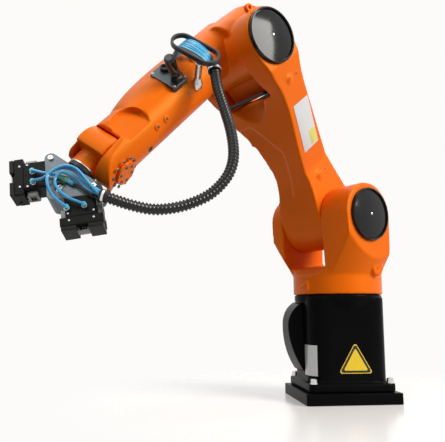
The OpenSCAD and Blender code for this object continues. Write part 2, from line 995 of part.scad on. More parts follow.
// Hand: cross drum in the wrist and the barrel toward the tool
module wrist_hand() {
    color(cast)
        at_hand() {
            intersection() {
                pin_y(drum_hand_r, -tine_in + hand_gap, tine_in - hand_gap);
                across(-tine_in, tine_in)
                    translate([hood_front - 2 * drum_hand_r, -drum_hand_r])
                        square(2 * drum_hand_r);
            }
            pin_x(hand_r, 0, hand_len - flange_t - seat);
        }
}

// Turning tool flange
module tool_flange() {
    color(alloy)
        at_tool()
            pin_x(flange_r, -flange_t, 0);
}

// Three-cornered bracket with two seats at right angles for the grippers
module gripper_bracket() {
    color(alloy)
        at_tool()
            difference() {
                translate([0, 0, bracket_top - bracket_t])
                    linear_extrude(bracket_t) {
                        for (p = [[lobe_x, -lobe_y], [lobe_x, lobe_y], [nose_x, 0]])
                            translate(p)
                                circle(bracket_corner);
                        polygon([
                            [lobe_x - bracket_edge, -lobe_y], [lobe_x - bracket_edge, lobe_y],
                            [lobe_x + bracket_slant, lobe_y + bracket_slant],
                            [nose_x + bracket_slant, bracket_slant], [nose_x + bracket_slant, -bracket_slant],
                            [lobe_x + bracket_slant, -lobe_y - bracket_slant]]);
                    }
                translate([pocket_x, 0, bracket_top - pocket_deep])
                    cylinder(r = pocket_r, h = bracket_t);
            }
}

// Gland that takes the lower end of the conduit on the bracket
module conduit_end() {
    path = curve(conduit_path, 3);
    color(black) {
        at_forearm()
            bar_from(conduit_low, heading(path, len(path) - 1), conduit_r + gland_wall, gland_len);
        at_tool()
            translate([0, 0, bracket_top])
                linear_extrude(strap_t)
                    belt([lobe_x, lobe_y], bracket_corner - strap_in, strap_end, bracket_corner - strap_in);
    }
}

// Gripper body on one seat of the bracket
module gripper_body() {
    color(black)
        translate([seat_dist, 0, 0])
            along(0, grip_len)
                rounded(grip_width, grip_t, grip_round);
}
module gripper_body_left() {
    at_grip(-45)
        gripper_body();
}
module gripper_body_lower() {
    at_grip(45)
        gripper_body();
}

// Wide guide with a groove for the jaws and the block between them
module jaw_guide() {
    color(black) {
        difference() {
            translate([grip_back, 0, 0])
                along(0, guide_len)
                    rounded(guide_width, grip_t, guide_round);
            translate([guide_end - groove_deep, 0, 0])
                along(0, 2 * groove_deep)
                    square([2 * guide_width, groove_t], center = true);
        }
        translate([guide_end - groove_deep - eps, 0, 0])
            along(0, groove_deep + jaw_len)
                square([block_width, groove_t], center = true);
    }
}
module jaw_guide_left() {
    at_grip(-45)
        jaw_guide();
}
module jaw_guide_lower() {
    at_grip(45)
        jaw_guide();
}

// One sliding jaw with its tongue in the groove of the guide
module jaw() {
    inner = block_width / 2 + block_play;
    color(dark) {
        translate([guide_end + tongue_play, inner + jaw_width / 2, 0])
            along(0, jaw_len)
                square([jaw_width, jaw_t], center = true);
        translate([guide_end - groove_deep + tongue_play, inner + jaw_width / 2, 0])
            along(0, groove_deep)
                square([jaw_width, groove_t - 2 * tongue_play], center = true);
    }
}
module jaw_left_upper() {
    at_grip(-45)
        mirror([0, 1, 0])
            jaw();
}
module jaw_left_lower() {
    at_grip(-45)
        jaw();
}
module jaw_lower_near() {
    at_grip(45)
        jaw();
}
module jaw_lower_far() {
    at_grip(45)
        mirror([0, 1, 0])
            jaw();
}

// Push-in fittings on the gripper bodies
module air_fittings() {
    color(hose_blue)
        for (port = fitting_ports)
            at_grip(port[0])
                translate([fitting_along, port[1], bracket_top])
                    cylinder(r = fitting_r, h = fitting_h);
}

// Air hoses from the fittings, over the bracket, to the gland of the conduit
module air_hoses() {
    color(hose_blue)
        at_tool()
            for (route = hose_routes)
                tube(route, [0, 0, 1], hose_r, 8, 4);
}

// Thin lead from the coupler to the gland of the conduit
module coupler_lead() {
    color(black)
        at_tool()
            tube(lead_route, [0, 0, 1], lead_r, 8, 3);
}

// Inline coupler on the top of the bracket
module hose_coupler() {
    color(coupler_green)
        at_tool()
            bar_from(coupler_at, unit(coupler_end - coupler_at), coupler_r, norm(coupler_end - coupler_at));
}

mounting_plate();
base_frame();
side_cover();
socket_panel();
power_socket();
signal_socket();
rotating_column();
shoulder_cap_right();
shoulder_cap_left();
link_arm();
elbow_cap_right();
elbow_cap_left();
lifting_eye();
elbow_housing();
forearm();
wrist_cover_right();
wrist_cover_left();
connector_panel();
connector_upper();
connector_lower();
hose_ring();
ring_standoffs();
conduit_clamp();
conduit();
ring_hoses();
wrist_hand();
tool_flange();
gripper_bracket();
conduit_end();
gripper_body_left();
gripper_body_lower();
jaw_guide_left();
jaw_guide_lower();
jaw_left_upper();
jaw_left_lower();
jaw_lower_near();
jaw_lower_far();
air_fittings();
air_hoses();
hose_coupler();
coupler_lead();
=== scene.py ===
"""Looks of a six-axis industrial robot arm with a double air gripper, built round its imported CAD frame."""

from __future__ import annotations

import json
import logging
import math
from collections.abc import Callable, Sequence
from dataclasses import dataclass
from enum import Enum

import bmesh
import bpy
from mathutils import Matrix, Vector


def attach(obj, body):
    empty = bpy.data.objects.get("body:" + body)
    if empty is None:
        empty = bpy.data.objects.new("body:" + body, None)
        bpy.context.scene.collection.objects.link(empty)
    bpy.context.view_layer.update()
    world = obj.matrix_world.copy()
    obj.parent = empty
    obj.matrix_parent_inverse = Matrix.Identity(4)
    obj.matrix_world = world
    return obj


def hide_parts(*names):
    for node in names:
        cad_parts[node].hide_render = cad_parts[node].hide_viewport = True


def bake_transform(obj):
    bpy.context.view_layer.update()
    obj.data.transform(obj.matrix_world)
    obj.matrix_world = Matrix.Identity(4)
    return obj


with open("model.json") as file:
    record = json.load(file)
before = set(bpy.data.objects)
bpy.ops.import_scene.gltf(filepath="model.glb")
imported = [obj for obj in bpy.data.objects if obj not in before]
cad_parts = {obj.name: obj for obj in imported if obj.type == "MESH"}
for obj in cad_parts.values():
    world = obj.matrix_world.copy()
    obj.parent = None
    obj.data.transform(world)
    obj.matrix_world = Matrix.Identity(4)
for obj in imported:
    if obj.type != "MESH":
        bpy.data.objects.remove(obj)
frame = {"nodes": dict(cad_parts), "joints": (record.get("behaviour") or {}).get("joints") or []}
log = logging.getLogger("robot_arm")

MM = 0.001
Point = Sequence[float]
Colour = tuple[float, float, float]
Triple = tuple[float, float, float]
Pair = tuple[float, float]


class Body(Enum):
    """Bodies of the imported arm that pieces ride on."""

    BASE = "base"
    COLUMN = "column"
    LINK = "link"
    ELBOW = "elbow"
    FOREARM = "forearm"
    HAND = "hand"
    TOOL = "tool"


class Slot(Enum):
    """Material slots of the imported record."""

    PAINT = "cast_orange"
    BASE = "base_black"
    CAP = "cap_black"
    PLASTIC = "black_plastic"
    CONDUIT = "conduit_black"
    ALLOY = "bare_alloy"
    STEEL = "bare_steel"
    GRIPPER = "gripper_black"
    HOSE = "hose_blue"
    COUPLER = "coupler_green"


# Places of the links, and lines in space


def joint_of(name: str) -> dict:
    """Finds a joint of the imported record.

    Args:
        name: The joint's name.

    Returns:
        The joint's entry.
    """
    return next(j for j in frame["joints"] if j["name"] == name)


@dataclass(frozen=True)
class Place:
    """Local frame of one link: millimetres in it come out as metres in the shared frame."""

    matrix: Matrix

    @classmethod
    def from_axes(cls, origin: Point, x: Vector, y: Vector) -> Place:
        """Builds the frame from an origin and two square axes.

        Args:
            origin: Origin in metres.
            x: First axis.
            y: Second axis.

        Returns:
            The local frame.
        """
        z = x.cross(y)
        turn = Matrix((x, y, z)).transposed().to_4x4()
        return cls(Matrix.Translation(Vector(origin)) @ turn)

    def at(self, point: Point) -> Vector:
        """Gives a local point in millimetres as metres in the shared frame."""
        return self.matrix @ (Vector(point) * MM)

    def aimed(self, point: Point, direction: Point, roll: float = 0.0) -> Matrix:
        """Gives the matrix that stands a piece on a local point with its Z along a local direction.

        Args:
            point: Local point in millimetres.
            direction: Local direction of the piece's Z.
            roll: Turn about that Z in degrees.

        Returns:
            The matrix from the piece's own metres to the shared frame.
        """
        turn = Vector(direction).to_track_quat("Z", "Y").to_matrix().to_4x4()
        spin = Matrix.Rotation(math.radians(roll), 4, "Z")
        return self.matrix @ Matrix.Translation(Vector(point) * MM) @ turn @ spin

    def turned(self, degrees: float) -> Place:
        """Gives this frame turned about its own Z."""
        return Place(self.matrix @ Matrix.Rotation(math.radians(degrees), 4, "Z"))


class Places:
    """Local frames of the links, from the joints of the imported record."""

    def __init__(self) -> None:
        """Reads the joints and builds every link's frame."""
        shoulder, elbow = joint_of("shoulder"), joint_of("elbow_bend")
        turn, bend, tool = joint_of("forearm_turn"), joint_of("wrist_bend"), joint_of("tool_turn")
        side = -Vector(shoulder["axis"])
        up = Vector((0, 0, 1))
        self.base = Place(Matrix.Identity(4))
        self.column = Place.from_axes((0, 0, 0), side.cross(up), side)
        reach = (Vector(elbow["pos_m"]) - Vector(shoulder["pos_m"])).normalized()
        self.link = Place.from_axes(shoulder["pos_m"], side.cross(reach), side)
        self.elbow = Place.from_axes(elbow["pos_m"], Vector(turn["axis"]), Vector(elbow["axis"]))
        cross = Vector(bend["axis"])
        self.forearm = Place.from_axes(turn["pos_m"], Vector(turn["axis"]), cross)
        self.hand = Place.from_axes(bend["pos_m"], Vector(tool["axis"]), cross)
        self.tool = Place.from_axes(tool["pos_m"], Vector(tool["axis"]), cross)
        self.grip_left = self.tool.turned(-45)
        self.grip_lower = self.tool.turned(45)


def smooth_path(points: Sequence[Vector], steps: int) -> list[Vector]:
    """Lays a smooth curve through given points.

    Args:
        points: The points to pass through.
        steps: Steps between two points.

    Returns:
        Points along the curve.
    """
    last = len(points) - 1
    out: list[Vector] = []
    for i in range(last):
        a, b, c, d = points[max(i - 1, 0)], points[i], points[i + 1], points[min(i + 2, last)]
        for k in range(steps):
            t = k / steps
            square = 2 * a - 5 * b + 4 * c - d
            cube = 3 * b - a - 3 * c + d
            out.append(0.5 * (2 * b + (c - a) * t + square * t**2 + cube * t**3))
    out.append(points[last].copy())
    return out


def even_path(points: Sequence[Vector], gap: float) -> list[Vector]:
    """Walks a path in even steps.

    Args:
        points: Points of the path.
        gap: Step in metres.

    Returns:
        Points an even step apart, with both ends kept.
    """
    runs = [(b - a).length for a, b in zip(points, points[1:])]
    total = sum(runs)
    count = max(2, round(total / gap))
    out, i, gone = [], 0, 0.0
    for k in range(count + 1):
        want = total * k / count
        while i < len(runs) - 1 and gone + runs[i] < want:
            gone += runs[i]
            i += 1
        share = min(1.0, (want - gone) / runs[i])
        out.append(points[i].lerp(points[i + 1], share))
    return out


def path_length(points: Sequence[Vector]) -> float:
    """Measures a path in metres."""
    return sum((b - a).length for a, b in zip(points, points[1:]))


# Finishes


class NodeSheet:
    """Writer of one material's node tree."""

    def __init__(self, name: str) -> None:
        """Starts a material with an empty tree.

        Args:
            name: The material's name.
        """
        self.material = bpy.data.materials.new(name)
        self.material.use_nodes = True
        self.tree = self.material.node_tree
        self.shader = self.tree.nodes["Principled BSDF"]
        self.coords = self.tree.nodes.new("ShaderNodeTexCoord")

    def fix(self, **values: float | Colour) -> None:
        """Sets the shader's own sockets.

        Args:
            values: What each socket gets, its name written with underscores for spaces.
        """
        for key, value in values.items():
            socket = self.shader.inputs[key.replace("_", " ")]
            socket.default_value = (*value, 1.0) if isinstance(value, tuple) else value

    def feed(self, socket: str, source: bpy.types.NodeSocket) -> None:
        """Links a source to one of the shader's sockets."""
        self.tree.links.new(source, self.shader.inputs[socket])

    def stretched(self, scale: Point) -> bpy.types.NodeSocket:
        """Scales Object coordinates along each axis.

        Args:
            scale: Scale along each axis.

        Returns:
            The scaled coordinates.
        """
        node = self.tree.nodes.new("ShaderNodeMapping")
        node.inputs["Scale"].default_value = scale
        self.tree.links.new(self.coords.outputs["Object"], node.inputs["Vector"])
        return node.outputs["Vector"]

    def noise(
        self, scale: float, detail: float = 3.0, rough: float = 0.55, stretch: Point | None = None
    ) -> bpy.types.NodeSocket:
        """Adds a noise pattern.

        Args:
            scale: Repeats in a metre.
            detail: Octaves.
            rough: Weight of the finer octaves.
            stretch: Scale along each axis, for drawn or brushed grain.

        Returns:
            The pattern's value.
        """
        node = self.tree.nodes.new("ShaderNodeTexNoise")
        node.inputs["Scale"].default_value = scale
        node.inputs["Detail"].default_value = detail
        node.inputs["Roughness"].default_value = rough
        vector = self.stretched(stretch) if stretch else self.coords.outputs["Object"]
        self.tree.links.new(vector, node.inputs["Vector"])
        return node.outputs["Fac"]

    def ranged(
        self,
        source: bpy.types.NodeSocket,
        low: float,
        high: float,
        span: Pair = (0.25, 0.75),
    ) -> bpy.types.NodeSocket:
        """Maps a value from a span to a new range.

        Args:
            source: The value.
            low: What the span's start becomes.
            high: What the span's end becomes.
            span: The part of the source that is used.

        Returns:
            The mapped value.
        """
        node = self.tree.nodes.new("ShaderNodeMapRange")
        node.inputs["From Min"].default_value, node.inputs["From Max"].default_value = span
        node.inputs["To Min"].default_value, node.inputs["To Max"].default_value = low, high
        self.tree.links.new(source, node.inputs["Value"])
        return node.outputs["Result"]

    def edges(self, low: float, high: float, amount: float) -> bpy.types.NodeSocket:
        """Gives a mask of worn edges from how sharply the surface turns.

        Args:
            low: Pointiness where wear starts.
            high: Pointiness where it is full.
            amount: Strength of the mask.

        Returns:
            The mask.
        """
        shape = self.tree.nodes.new("ShaderNodeNewGeometry")
        return self.ranged(shape.outputs["Pointiness"], 0.0, amount, (low, high))

    def mixed(
        self,
        mask: bpy.types.NodeSocket,
        first: Colour | bpy.types.NodeSocket,
        second: Colour | bpy.types.NodeSocket,
    ) -> bpy.types.NodeSocket:
        """Mixes two colours by a mask.

        Args:
            mask: Share of the second colour.
            first: First colour, fixed or linked.
            second: Second colour, fixed or linked.

        Returns:
            The mixed colour.
        """
        node = self.tree.nodes.new("ShaderNodeMix")
        node.data_type = "RGBA"
        self.tree.links.new(mask, node.inputs[0])
        for socket, value in ((node.inputs[6], first), (node.inputs[7], second)):
            if isinstance(value, tuple):
                socket.default_value = (*value, 1.0)
            else:
                self.tree.links.new(value, socket)
        return node.outputs[2]

    def relief(self, layers: Sequence[tuple[bpy.types.NodeSocket, float]]) -> None:
        """Feeds bump layers to the shader's normal.

        Args:
            layers: Height pattern and depth in metres of each layer.
        """
        normal = None
        for height, depth in layers:
            node = self.tree.nodes.new("ShaderNodeBump")
            node.inputs["Strength"].default_value = 1.0
            node.inputs["Distance"].default_value = depth
            self.tree.links.new(height, node.inputs["Height"])
            if normal is not None:
                self.tree.links.new(normal, node.inputs["Normal"])
            normal = node.outputs["Normal"]
        if normal is not None:
            self.feed("Normal", normal)


@dataclass(frozen=True)
class PaintFinish:
    """Sprayed paint on a casting: mottled colour, orange peel, worn edges; depths in metres."""

    name: str
    colour: Colour
    deep: Colour
    worn: Colour
    roughness: float
    specular: float
    peel_depth: float = 0.00003
    cast_depth: float = 0.00006
    wear: float = 0.5
    gloss_tint: Colour = (1.0, 1.0, 1.0)
    mottle_scale: float = 7.0
    gloss_scale: float = 420.0
    peel_scale: float = 950.0
    cast_scale: float = 160.0
    spread: Pair = (-0.04, 0.06)
    worn_turn: Pair = (0.53, 0.6)

    def material(self) -> bpy.types.Material:
        """Builds the paint.

        Returns:
            The material.
        """
        sheet = NodeSheet(self.name)
        sheet.fix(Specular_IOR_Level=self.specular, Specular_Tint=self.gloss_tint)
        mottle = sheet.noise(self.mottle_scale, 3.0)
        fine = sheet.noise(self.gloss_scale, 2.0)
        tone = sheet.mixed(sheet.ranged(mottle, 0.0, 1.0), self.colour, self.deep)
        rubbed = sheet.edges(*self.worn_turn, self.wear)
        sheet.feed("Base Color", sheet.mixed(rubbed, tone, self.worn))
        sheet.feed("Roughness", sheet.ranged(fine, *(self.roughness + s for s in self.spread)))
        peel = sheet.noise(self.peel_scale, 1.0)
        cast = sheet.noise(self.cast_scale, 2.0)
        sheet.relief([(peel, self.peel_depth), (cast, self.cast_depth)])
        return sheet.material


@dataclass(frozen=True)
class MouldedFinish:
    """Moulded plastic or rubber: fine sparked texture and faint colour drift; depth in metres."""

    name: str
    colour: Colour
    drift: Colour
    roughness: float
    specular: float = 0.3
    grain: float = 1400.0
    depth: float = 0.00002
    coat: float = 0.0
    coat_roughness: float = 0.08
    drift_scale: float = 35.0
    spread: Pair = (-0.03, 0.05)

    def material(self) -> bpy.types.Material:
        """Builds the plastic.

        Returns:
            The material.
        """
        sheet = NodeSheet(self.name)
        sheet.fix(Specular_IOR_Level=self.specular)
        sheet.fix(Coat_Weight=self.coat, Coat_Roughness=self.coat_roughness)
        cloud = sheet.noise(self.drift_scale, 3.0)
        grain = sheet.noise(self.grain, 2.0)
        sheet.feed("Base Color", sheet.mixed(sheet.ranged(cloud, 0.0, 1.0), self.colour, self.drift))
        sheet.feed("Roughness", sheet.ranged(grain, *(self.roughness + s for s in self.spread)))
        sheet.relief([(grain, self.depth)])
        return sheet.material


@dataclass(frozen=True)
class MetalFinish:
    """Machined or anodised metal: drawn grain, cloudy tone, bright edges; depth in metres."""

    name: str
    colour: Colour
    cloud: Colour
    edge: Colour
    roughness: float
    metallic: float = 1.0
    stretch: Triple = (1.0, 1.0, 14.0)
    depth: float = 0.00001
    wear: float = 0.6
    specular: float = 0.35
    grain_scale: float = 260.0
    cloud_scale: float = 40.0
    spread: Pair = (-0.07, 0.1)
    bright_turn: Pair = (0.54, 0.62)

    def material(self) -> bpy.types.Material:
        """Builds the metal.

        Returns:
            The material.
        """
        sheet = NodeSheet(self.name)
        sheet.fix(Metallic=self.metallic, Specular_IOR_Level=self.specular)
        grain = sheet.noise(self.grain_scale, 2.0, 0.6, self.stretch)
        cloud = sheet.noise(self.cloud_scale, 4.0)
        tone = sheet.mixed(sheet.ranged(cloud, 0.0, 1.0), self.colour, self.cloud)
        bright = sheet.edges(*self.bright_turn, self.wear)
        sheet.feed("Base Color", sheet.mixed(bright, tone, self.edge))
        sheet.feed("Roughness", sheet.ranged(grain, *(self.roughness + s for s in self.spread)))
        sheet.relief([(grain, self.depth)])
        return sheet.material


@dataclass(frozen=True)
class CardFinish:
    """Foil plate: flat colour with faint fibres, rubbed patches and a satin film; depth in metres."""

    name: str
    colour: Colour
    rubbed: Colour
    roughness: float = 0.4
    specular: float = 0.3
    film: float = 0.15
    film_roughness: float = 0.2
    rub_scale: float = 90.0
    fibre_scale: float = 1600.0
    fibre_depth: float = 0.000006
    spread: Pair = (-0.05, 0.08)

    def material(self) -> bpy.types.Material:
        """Builds the foil.

        Returns:
            The material.
        """
        sheet = NodeSheet(self.name)
        sheet.fix(Specular_IOR_Level=self.specular)
        sheet.fix(Coat_Weight=self.film, Coat_Roughness=self.film_roughness)
        rub = sheet.noise(self.rub_scale, 4.0)
        fibre = sheet.noise(self.fibre_scale, 2.0)
        sheet.feed("Base Color", sheet.mixed(sheet.ranged(rub, 0.0, 0.7), self.colour, self.rubbed))
        sheet.feed("Roughness", sheet.ranged(fibre, *(self.roughness + s for s in self.spread)))
        sheet.relief([(fibre, self.fibre_depth)])
        return sheet.material


class Finishes:
    """All finishes of the arm, built once."""

    def __init__(self) -> None:
        """Builds every material."""
        self.paint = PaintFinish(
            "orange_cast_paint", (0.92, 0.16, 0.004), (0.88, 0.14, 0.0035), (0.97, 0.25, 0.02),
            roughness=0.42, specular=0.36, gloss_tint=(1.0, 0.78, 0.1),
        ).material()  # fmt: skip
        self.base = PaintFinish(
            "black_base_paint", (0.003, 0.003, 0.0033), (0.0045, 0.0045, 0.005), (0.02, 0.02, 0.02),
            roughness=0.28, specular=0.022, peel_depth=0.00001, cast_depth=0.00002, wear=0.3,
        ).material()  # fmt: skip
        self.cap = MouldedFinish(
            "gloss_black_cap", (0.006, 0.007, 0.0075), (0.009, 0.01, 0.0105),
            roughness=0.11, specular=0.24, depth=0.000003,
        ).material()  # fmt: skip
        self.plastic = MouldedFinish(
            "matt_black_plastic", (0.012, 0.012, 0.013), (0.02, 0.02, 0.021), roughness=0.38
        ).material()
        self.ring = MouldedFinish(
            "dark_grey_ring", (0.035, 0.037, 0.04), (0.05, 0.052, 0.055), roughness=0.34
        ).material()
        self.conduit = MouldedFinish(
            "conduit_black_nylon", (0.003, 0.003, 0.003), (0.006, 0.006, 0.006),
            roughness=0.12, specular=0.38,
        ).material()  # fmt: skip
        self.alloy = MetalFinish(
            "milled_alloy", (0.36, 0.38, 0.41), (0.29, 0.31, 0.34), (0.6, 0.62, 0.64), roughness=0.36
        ).material()
        self.bracket = MetalFinish(
            "grey_bracket_alloy", (0.105, 0.118, 0.128), (0.075, 0.085, 0.094), (0.42, 0.44, 0.45),
            roughness=0.38,
        ).material()  # fmt: skip
        self.steel = MetalFinish(
            "turned_steel", (0.62, 0.62, 0.61), (0.52, 0.52, 0.52), (0.8, 0.8, 0.8), roughness=0.24
        ).material()
        self.dark_steel = MetalFinish(
            "blackened_screw", (0.07, 0.07, 0.072), (0.1, 0.1, 0.1), (0.3, 0.3, 0.3),
            roughness=0.34, metallic=0.8,
        ).material()  # fmt: skip
        self.gripper = MetalFinish(
            "black_anodised", (0.009, 0.009, 0.0086), (0.013, 0.013, 0.0125), (0.06, 0.06, 0.056),
            roughness=0.42, metallic=0.3, specular=0.07,
        ).material()  # fmt: skip
        self.jaw = MetalFinish(
            "grey_anodised", (0.013, 0.013, 0.0125), (0.018, 0.018, 0.017), (0.08, 0.08, 0.075),
            roughness=0.42, metallic=0.3, specular=0.09,
        ).material()  # fmt: skip
        self.hose = MouldedFinish(
            "blue_air_hose", (0.015, 0.33, 0.72), (0.04, 0.48, 0.8),
            roughness=0.22, specular=0.5, grain=300.0, depth=0.000004, coat=0.4,
        ).material()  # fmt: skip
        self.pale_hose = MouldedFinish(
            "pale_blue_air_hose", (0.1, 0.56, 0.82), (0.2, 0.64, 0.84),
            roughness=0.24, specular=0.5, grain=300.0, depth=0.000004, coat=0.3,
        ).material()  # fmt: skip
        self.bronze = MetalFinish(
            "bronze_cap", (0.42, 0.27, 0.12), (0.34, 0.21, 0.09), (0.6, 0.42, 0.22), roughness=0.3
        ).material()
        self.grey_metal = MetalFinish(
            "grey_cast_metal", (0.16, 0.16, 0.15), (0.21, 0.205, 0.2), (0.34, 0.33, 0.32),
            roughness=0.42, metallic=0.6,
        ).material()  # fmt: skip
        self.fitting = MouldedFinish(
            "cyan_fitting", (0.04, 0.5, 0.72), (0.1, 0.62, 0.75),
            roughness=0.3, specular=0.5, grain=500.0, depth=0.000006, coat=0.2,
        ).material()  # fmt: skip
        self.coupler = MouldedFinish(
            "green_coupler", (0.22, 0.72, 0.42), (0.3, 0.78, 0.52),
            roughness=0.28, specular=0.45, grain=500.0, depth=0.000006, coat=0.2,
        ).material()  # fmt: skip
        self.white_card = CardFinish("white_foil", (0.72, 0.73, 0.74), (0.66, 0.67, 0.68)).material()
        self.yellow_card = CardFinish("pale_yellow_foil", (0.74, 0.68, 0.16), (0.7, 0.63, 0.14)).material()
        self.signal_card = CardFinish("yellow_foil", (0.86, 0.6, 0.03), (0.8, 0.55, 0.03)).material()
        self.black_card = CardFinish("black_foil", (0.012, 0.012, 0.012), (0.02, 0.02, 0.02)).material()
        self.silver_card = MetalFinish(
            "silver_foil", (0.4, 0.41, 0.42), (0.33, 0.34, 0.35), (0.5, 0.5, 0.5),
            roughness=0.44, metallic=0.7,
        ).material()  # fmt: skip


# Modelling bench


class Bench:
    """Moves of the modelling bench, each on one mesh at the origin in metres."""

    @staticmethod
    def clear() -> None:
        """Leaves edit mode and deselects everything."""
        if bpy.context.mode != "OBJECT":
            bpy.ops.object.mode_set(mode="OBJECT")
        bpy.ops.object.select_all(action="DESELECT")

    @staticmethod
    def hold(obj: bpy.types.Object) -> None:
        """Makes one object the selected and active one.

        Args:
            obj: The object.
        """
        Bench.clear()
        obj.select_set(True)
        bpy.context.view_layer.objects.active = obj

    @staticmethod
    def edit(obj: bpy.types.Object) -> None:
        """Opens one object in edit mode with nothing selected.

        Args:
            obj: The object.
        """
        Bench.hold(obj)
        bpy.ops.object.mode_set(mode="EDIT")
        bpy.ops.mesh.select_all(action="DESELECT")

    @staticmethod
    def pick_faces(obj: bpy.types.Object, test: Callable[[Vector, Vector], bool]) -> None:
        """Selects faces of the edited object.

        Args:
            obj: The object in edit mode.
            test: Says from a face's middle and normal whether it is taken.
        """
        bpy.ops.mesh.select_mode(type="FACE")
        bpy.ops.mesh.select_all(action="DESELECT")
        mesh = bmesh.from_edit_mesh(obj.data)
        for face in mesh.faces:
            face.select_set(test(face.calc_center_median(), face.normal))
        mesh.select_flush_mode()
        bmesh.update_edit_mesh(obj.data)

    @staticmethod
    def pick_edges(obj: bpy.types.Object, test: Callable[[Vector, Vector], bool]) -> None:
        """Selects edges of the edited object.

        Args:
            obj: The object in edit mode.
            test: Says from an edge's two ends whether it is taken.
        """
        bpy.ops.mesh.select_mode(type="EDGE")
        bpy.ops.mesh.select_all(action="DESELECT")
        mesh = bmesh.from_edit_mesh(obj.data)
        for edge in mesh.edges:
            edge.select_set(test(edge.verts[0].co, edge.verts[1].co))
        mesh.select_flush_mode()
        bmesh.update_edit_mesh(obj.data)

    @staticmethod
    def block(name: str, size: Point, corner: float, ease: float) -> bpy.types.Object:
        """Models a block with round upright corners and an eased top, standing on zero.

        Args:
            name: The piece's name.
            size: Length, width and height in millimetres.
            corner: Radius of the upright corners in millimetres.
            ease: Width of the eased top edge in millimetres.

        Returns:
            The block.
        """
        Bench.clear()
        bpy.ops.mesh.primitive_cube_add(size=1.0)
        obj = bpy.context.object
        obj.name = name
        high = size[2] * MM
        bpy.ops.object.mode_set(mode="EDIT")
        bpy.ops.transform.resize(value=[s * MM for s in size], center_override=(0, 0, 0))
        bpy.ops.transform.translate(value=(0, 0, high / 2))
        Bench.pick_edges(obj, lambda a, b: abs(a.z - b.z) > high / 2)
        bpy.ops.mesh.bevel(offset=corner * MM, segments=5, affect="EDGES")
        Bench.pick_edges(obj, lambda a, b: min(a.z, b.z) > high * 0.99)
        bpy.ops.mesh.bevel(offset=ease * MM, segments=2, affect="EDGES")
        bpy.ops.object.mode_set(mode="OBJECT")
        return obj

    @staticmethod
    def turn(name: str, outline: Sequence[Point], steps: int = 48) -> bpy.types.Object:
        """Spins an outline about Z, as on a lathe.

        Args:
            name: The piece's name.
            outline: Radius and height of each point in millimetres, from axis to axis.
            steps: Steps round the axis.

        Returns:
            The turned piece.
        """
        Bench.clear()
        bpy.ops.mesh.primitive_plane_add(size=MM)
        obj = bpy.context.object
        obj.name = name
        bpy.ops.object.mode_set(mode="EDIT")
        bpy.ops.mesh.select_mode(type="VERT")
        bpy.ops.mesh.select_all(action="SELECT")
        bpy.ops.mesh.merge(type="CENTER")
        bpy.ops.transform.translate(value=(outline[0][0] * MM, 0, outline[0][1] * MM))
        for a, b in zip(outline, outline[1:]):
            step = ((b[0] - a[0]) * MM, 0, (b[1] - a[1]) * MM)
            bpy.ops.mesh.extrude_vertices_move(TRANSFORM_OT_translate={"value": step})
        bpy.ops.mesh.select_all(action="SELECT")
        bpy.ops.mesh.spin(steps=steps, angle=math.tau, center=(0, 0, 0), axis=(0, 0, 1))
        Bench.tidy()
        return obj

    @staticmethod
    def ribbon(name: str, line: Sequence[Point], low: float, high: float, thick: float) -> bpy.types.Object:
        """Stands a thin bent plate on an outline seen from above.

        Args:
            name: The piece's name.
            line: Points of the outline in millimetres.
            low: Height of its lower edge in millimetres.
            high: Height of its upper edge in millimetres.
            thick: Thickness in millimetres.

        Returns:
            The plate.
        """
        Bench.clear()
        bpy.ops.mesh.primitive_plane_add(size=MM)
        obj = bpy.context.object
        obj.name = name
        bpy.ops.object.mode_set(mode="EDIT")
        bpy.ops.mesh.select_mode(type="VERT")
        bpy.ops.mesh.select_all(action="SELECT")
        bpy.ops.mesh.merge(type="CENTER")
        bpy.ops.transform.translate(value=(line[0][0] * MM, line[0][1] * MM, low * MM))
        for a, b in zip(line, line[1:]):
            step = ((b[0] - a[0]) * MM, (b[1] - a[1]) * MM, 0)
            bpy.ops.mesh.extrude_vertices_move(TRANSFORM_OT_translate={"value": step})
        bpy.ops.mesh.select_all(action="SELECT")
        bpy.ops.mesh.select_mode(type="EDGE")
        bpy.ops.mesh.extrude_edges_move(TRANSFORM_OT_translate={"value": (0, 0, (high - low) * MM)})
        Bench.tidy()
        Bench.hold(obj)
        wall = obj.modifiers.new("wall", "SOLIDIFY")
        wall.thickness = thick * MM
        wall.offset = 0.0
        bpy.ops.object.modifier_apply(modifier=wall.name)
        return obj

    @staticmethod
    def tidy() -> None:
        """Merges doubles, points the faces outwards and leaves edit mode."""
        bpy.ops.mesh.select_all(action="SELECT")
        bpy.ops.mesh.remove_doubles(threshold=1e-6)
        bpy.ops.mesh.normals_make_consistent(inside=False)
        bpy.ops.object.mode_set(mode="OBJECT")

    @staticmethod
    def sweep(
        name: str,
        path: Sequence[Vector],
        radius: float,
        rings: Sequence[float] | None = None,
        sides: int = 3,
    ) -> bpy.types.Object:
        """Sweeps a round bar along a path in the shared frame.

        Args:
            name: The piece's name.
            path: Points in metres.
            radius: Radius in millimetres.
            rings: Share of the radius at each point, for ribs and swellings.
            sides: Fineness of the round.

        Returns:
            The bar as a mesh.
        """
        curve = bpy.data.curves.new(name, "CURVE")
        curve.dimensions = "3D"
        curve.bevel_depth = radius * MM
        curve.bevel_resolution = sides
        curve.use_fill_caps = True
        spline = curve.splines.new("POLY")
        spline.points.add(len(path) - 1)
        for i, (point, place) in enumerate(zip(spline.points, path)):
            point.co = (*place, 1.0)
            point.radius = rings[i] if rings else 1.0
        obj = bpy.data.objects.new(name, curve)
        bpy.context.scene.collection.objects.link(obj)
        Bench.hold(obj)
        bpy.ops.object.convert(target="MESH")
        obj = bpy.context.object
        obj.name = name
        Bench.edit(obj)
        Bench.tidy()
        return obj

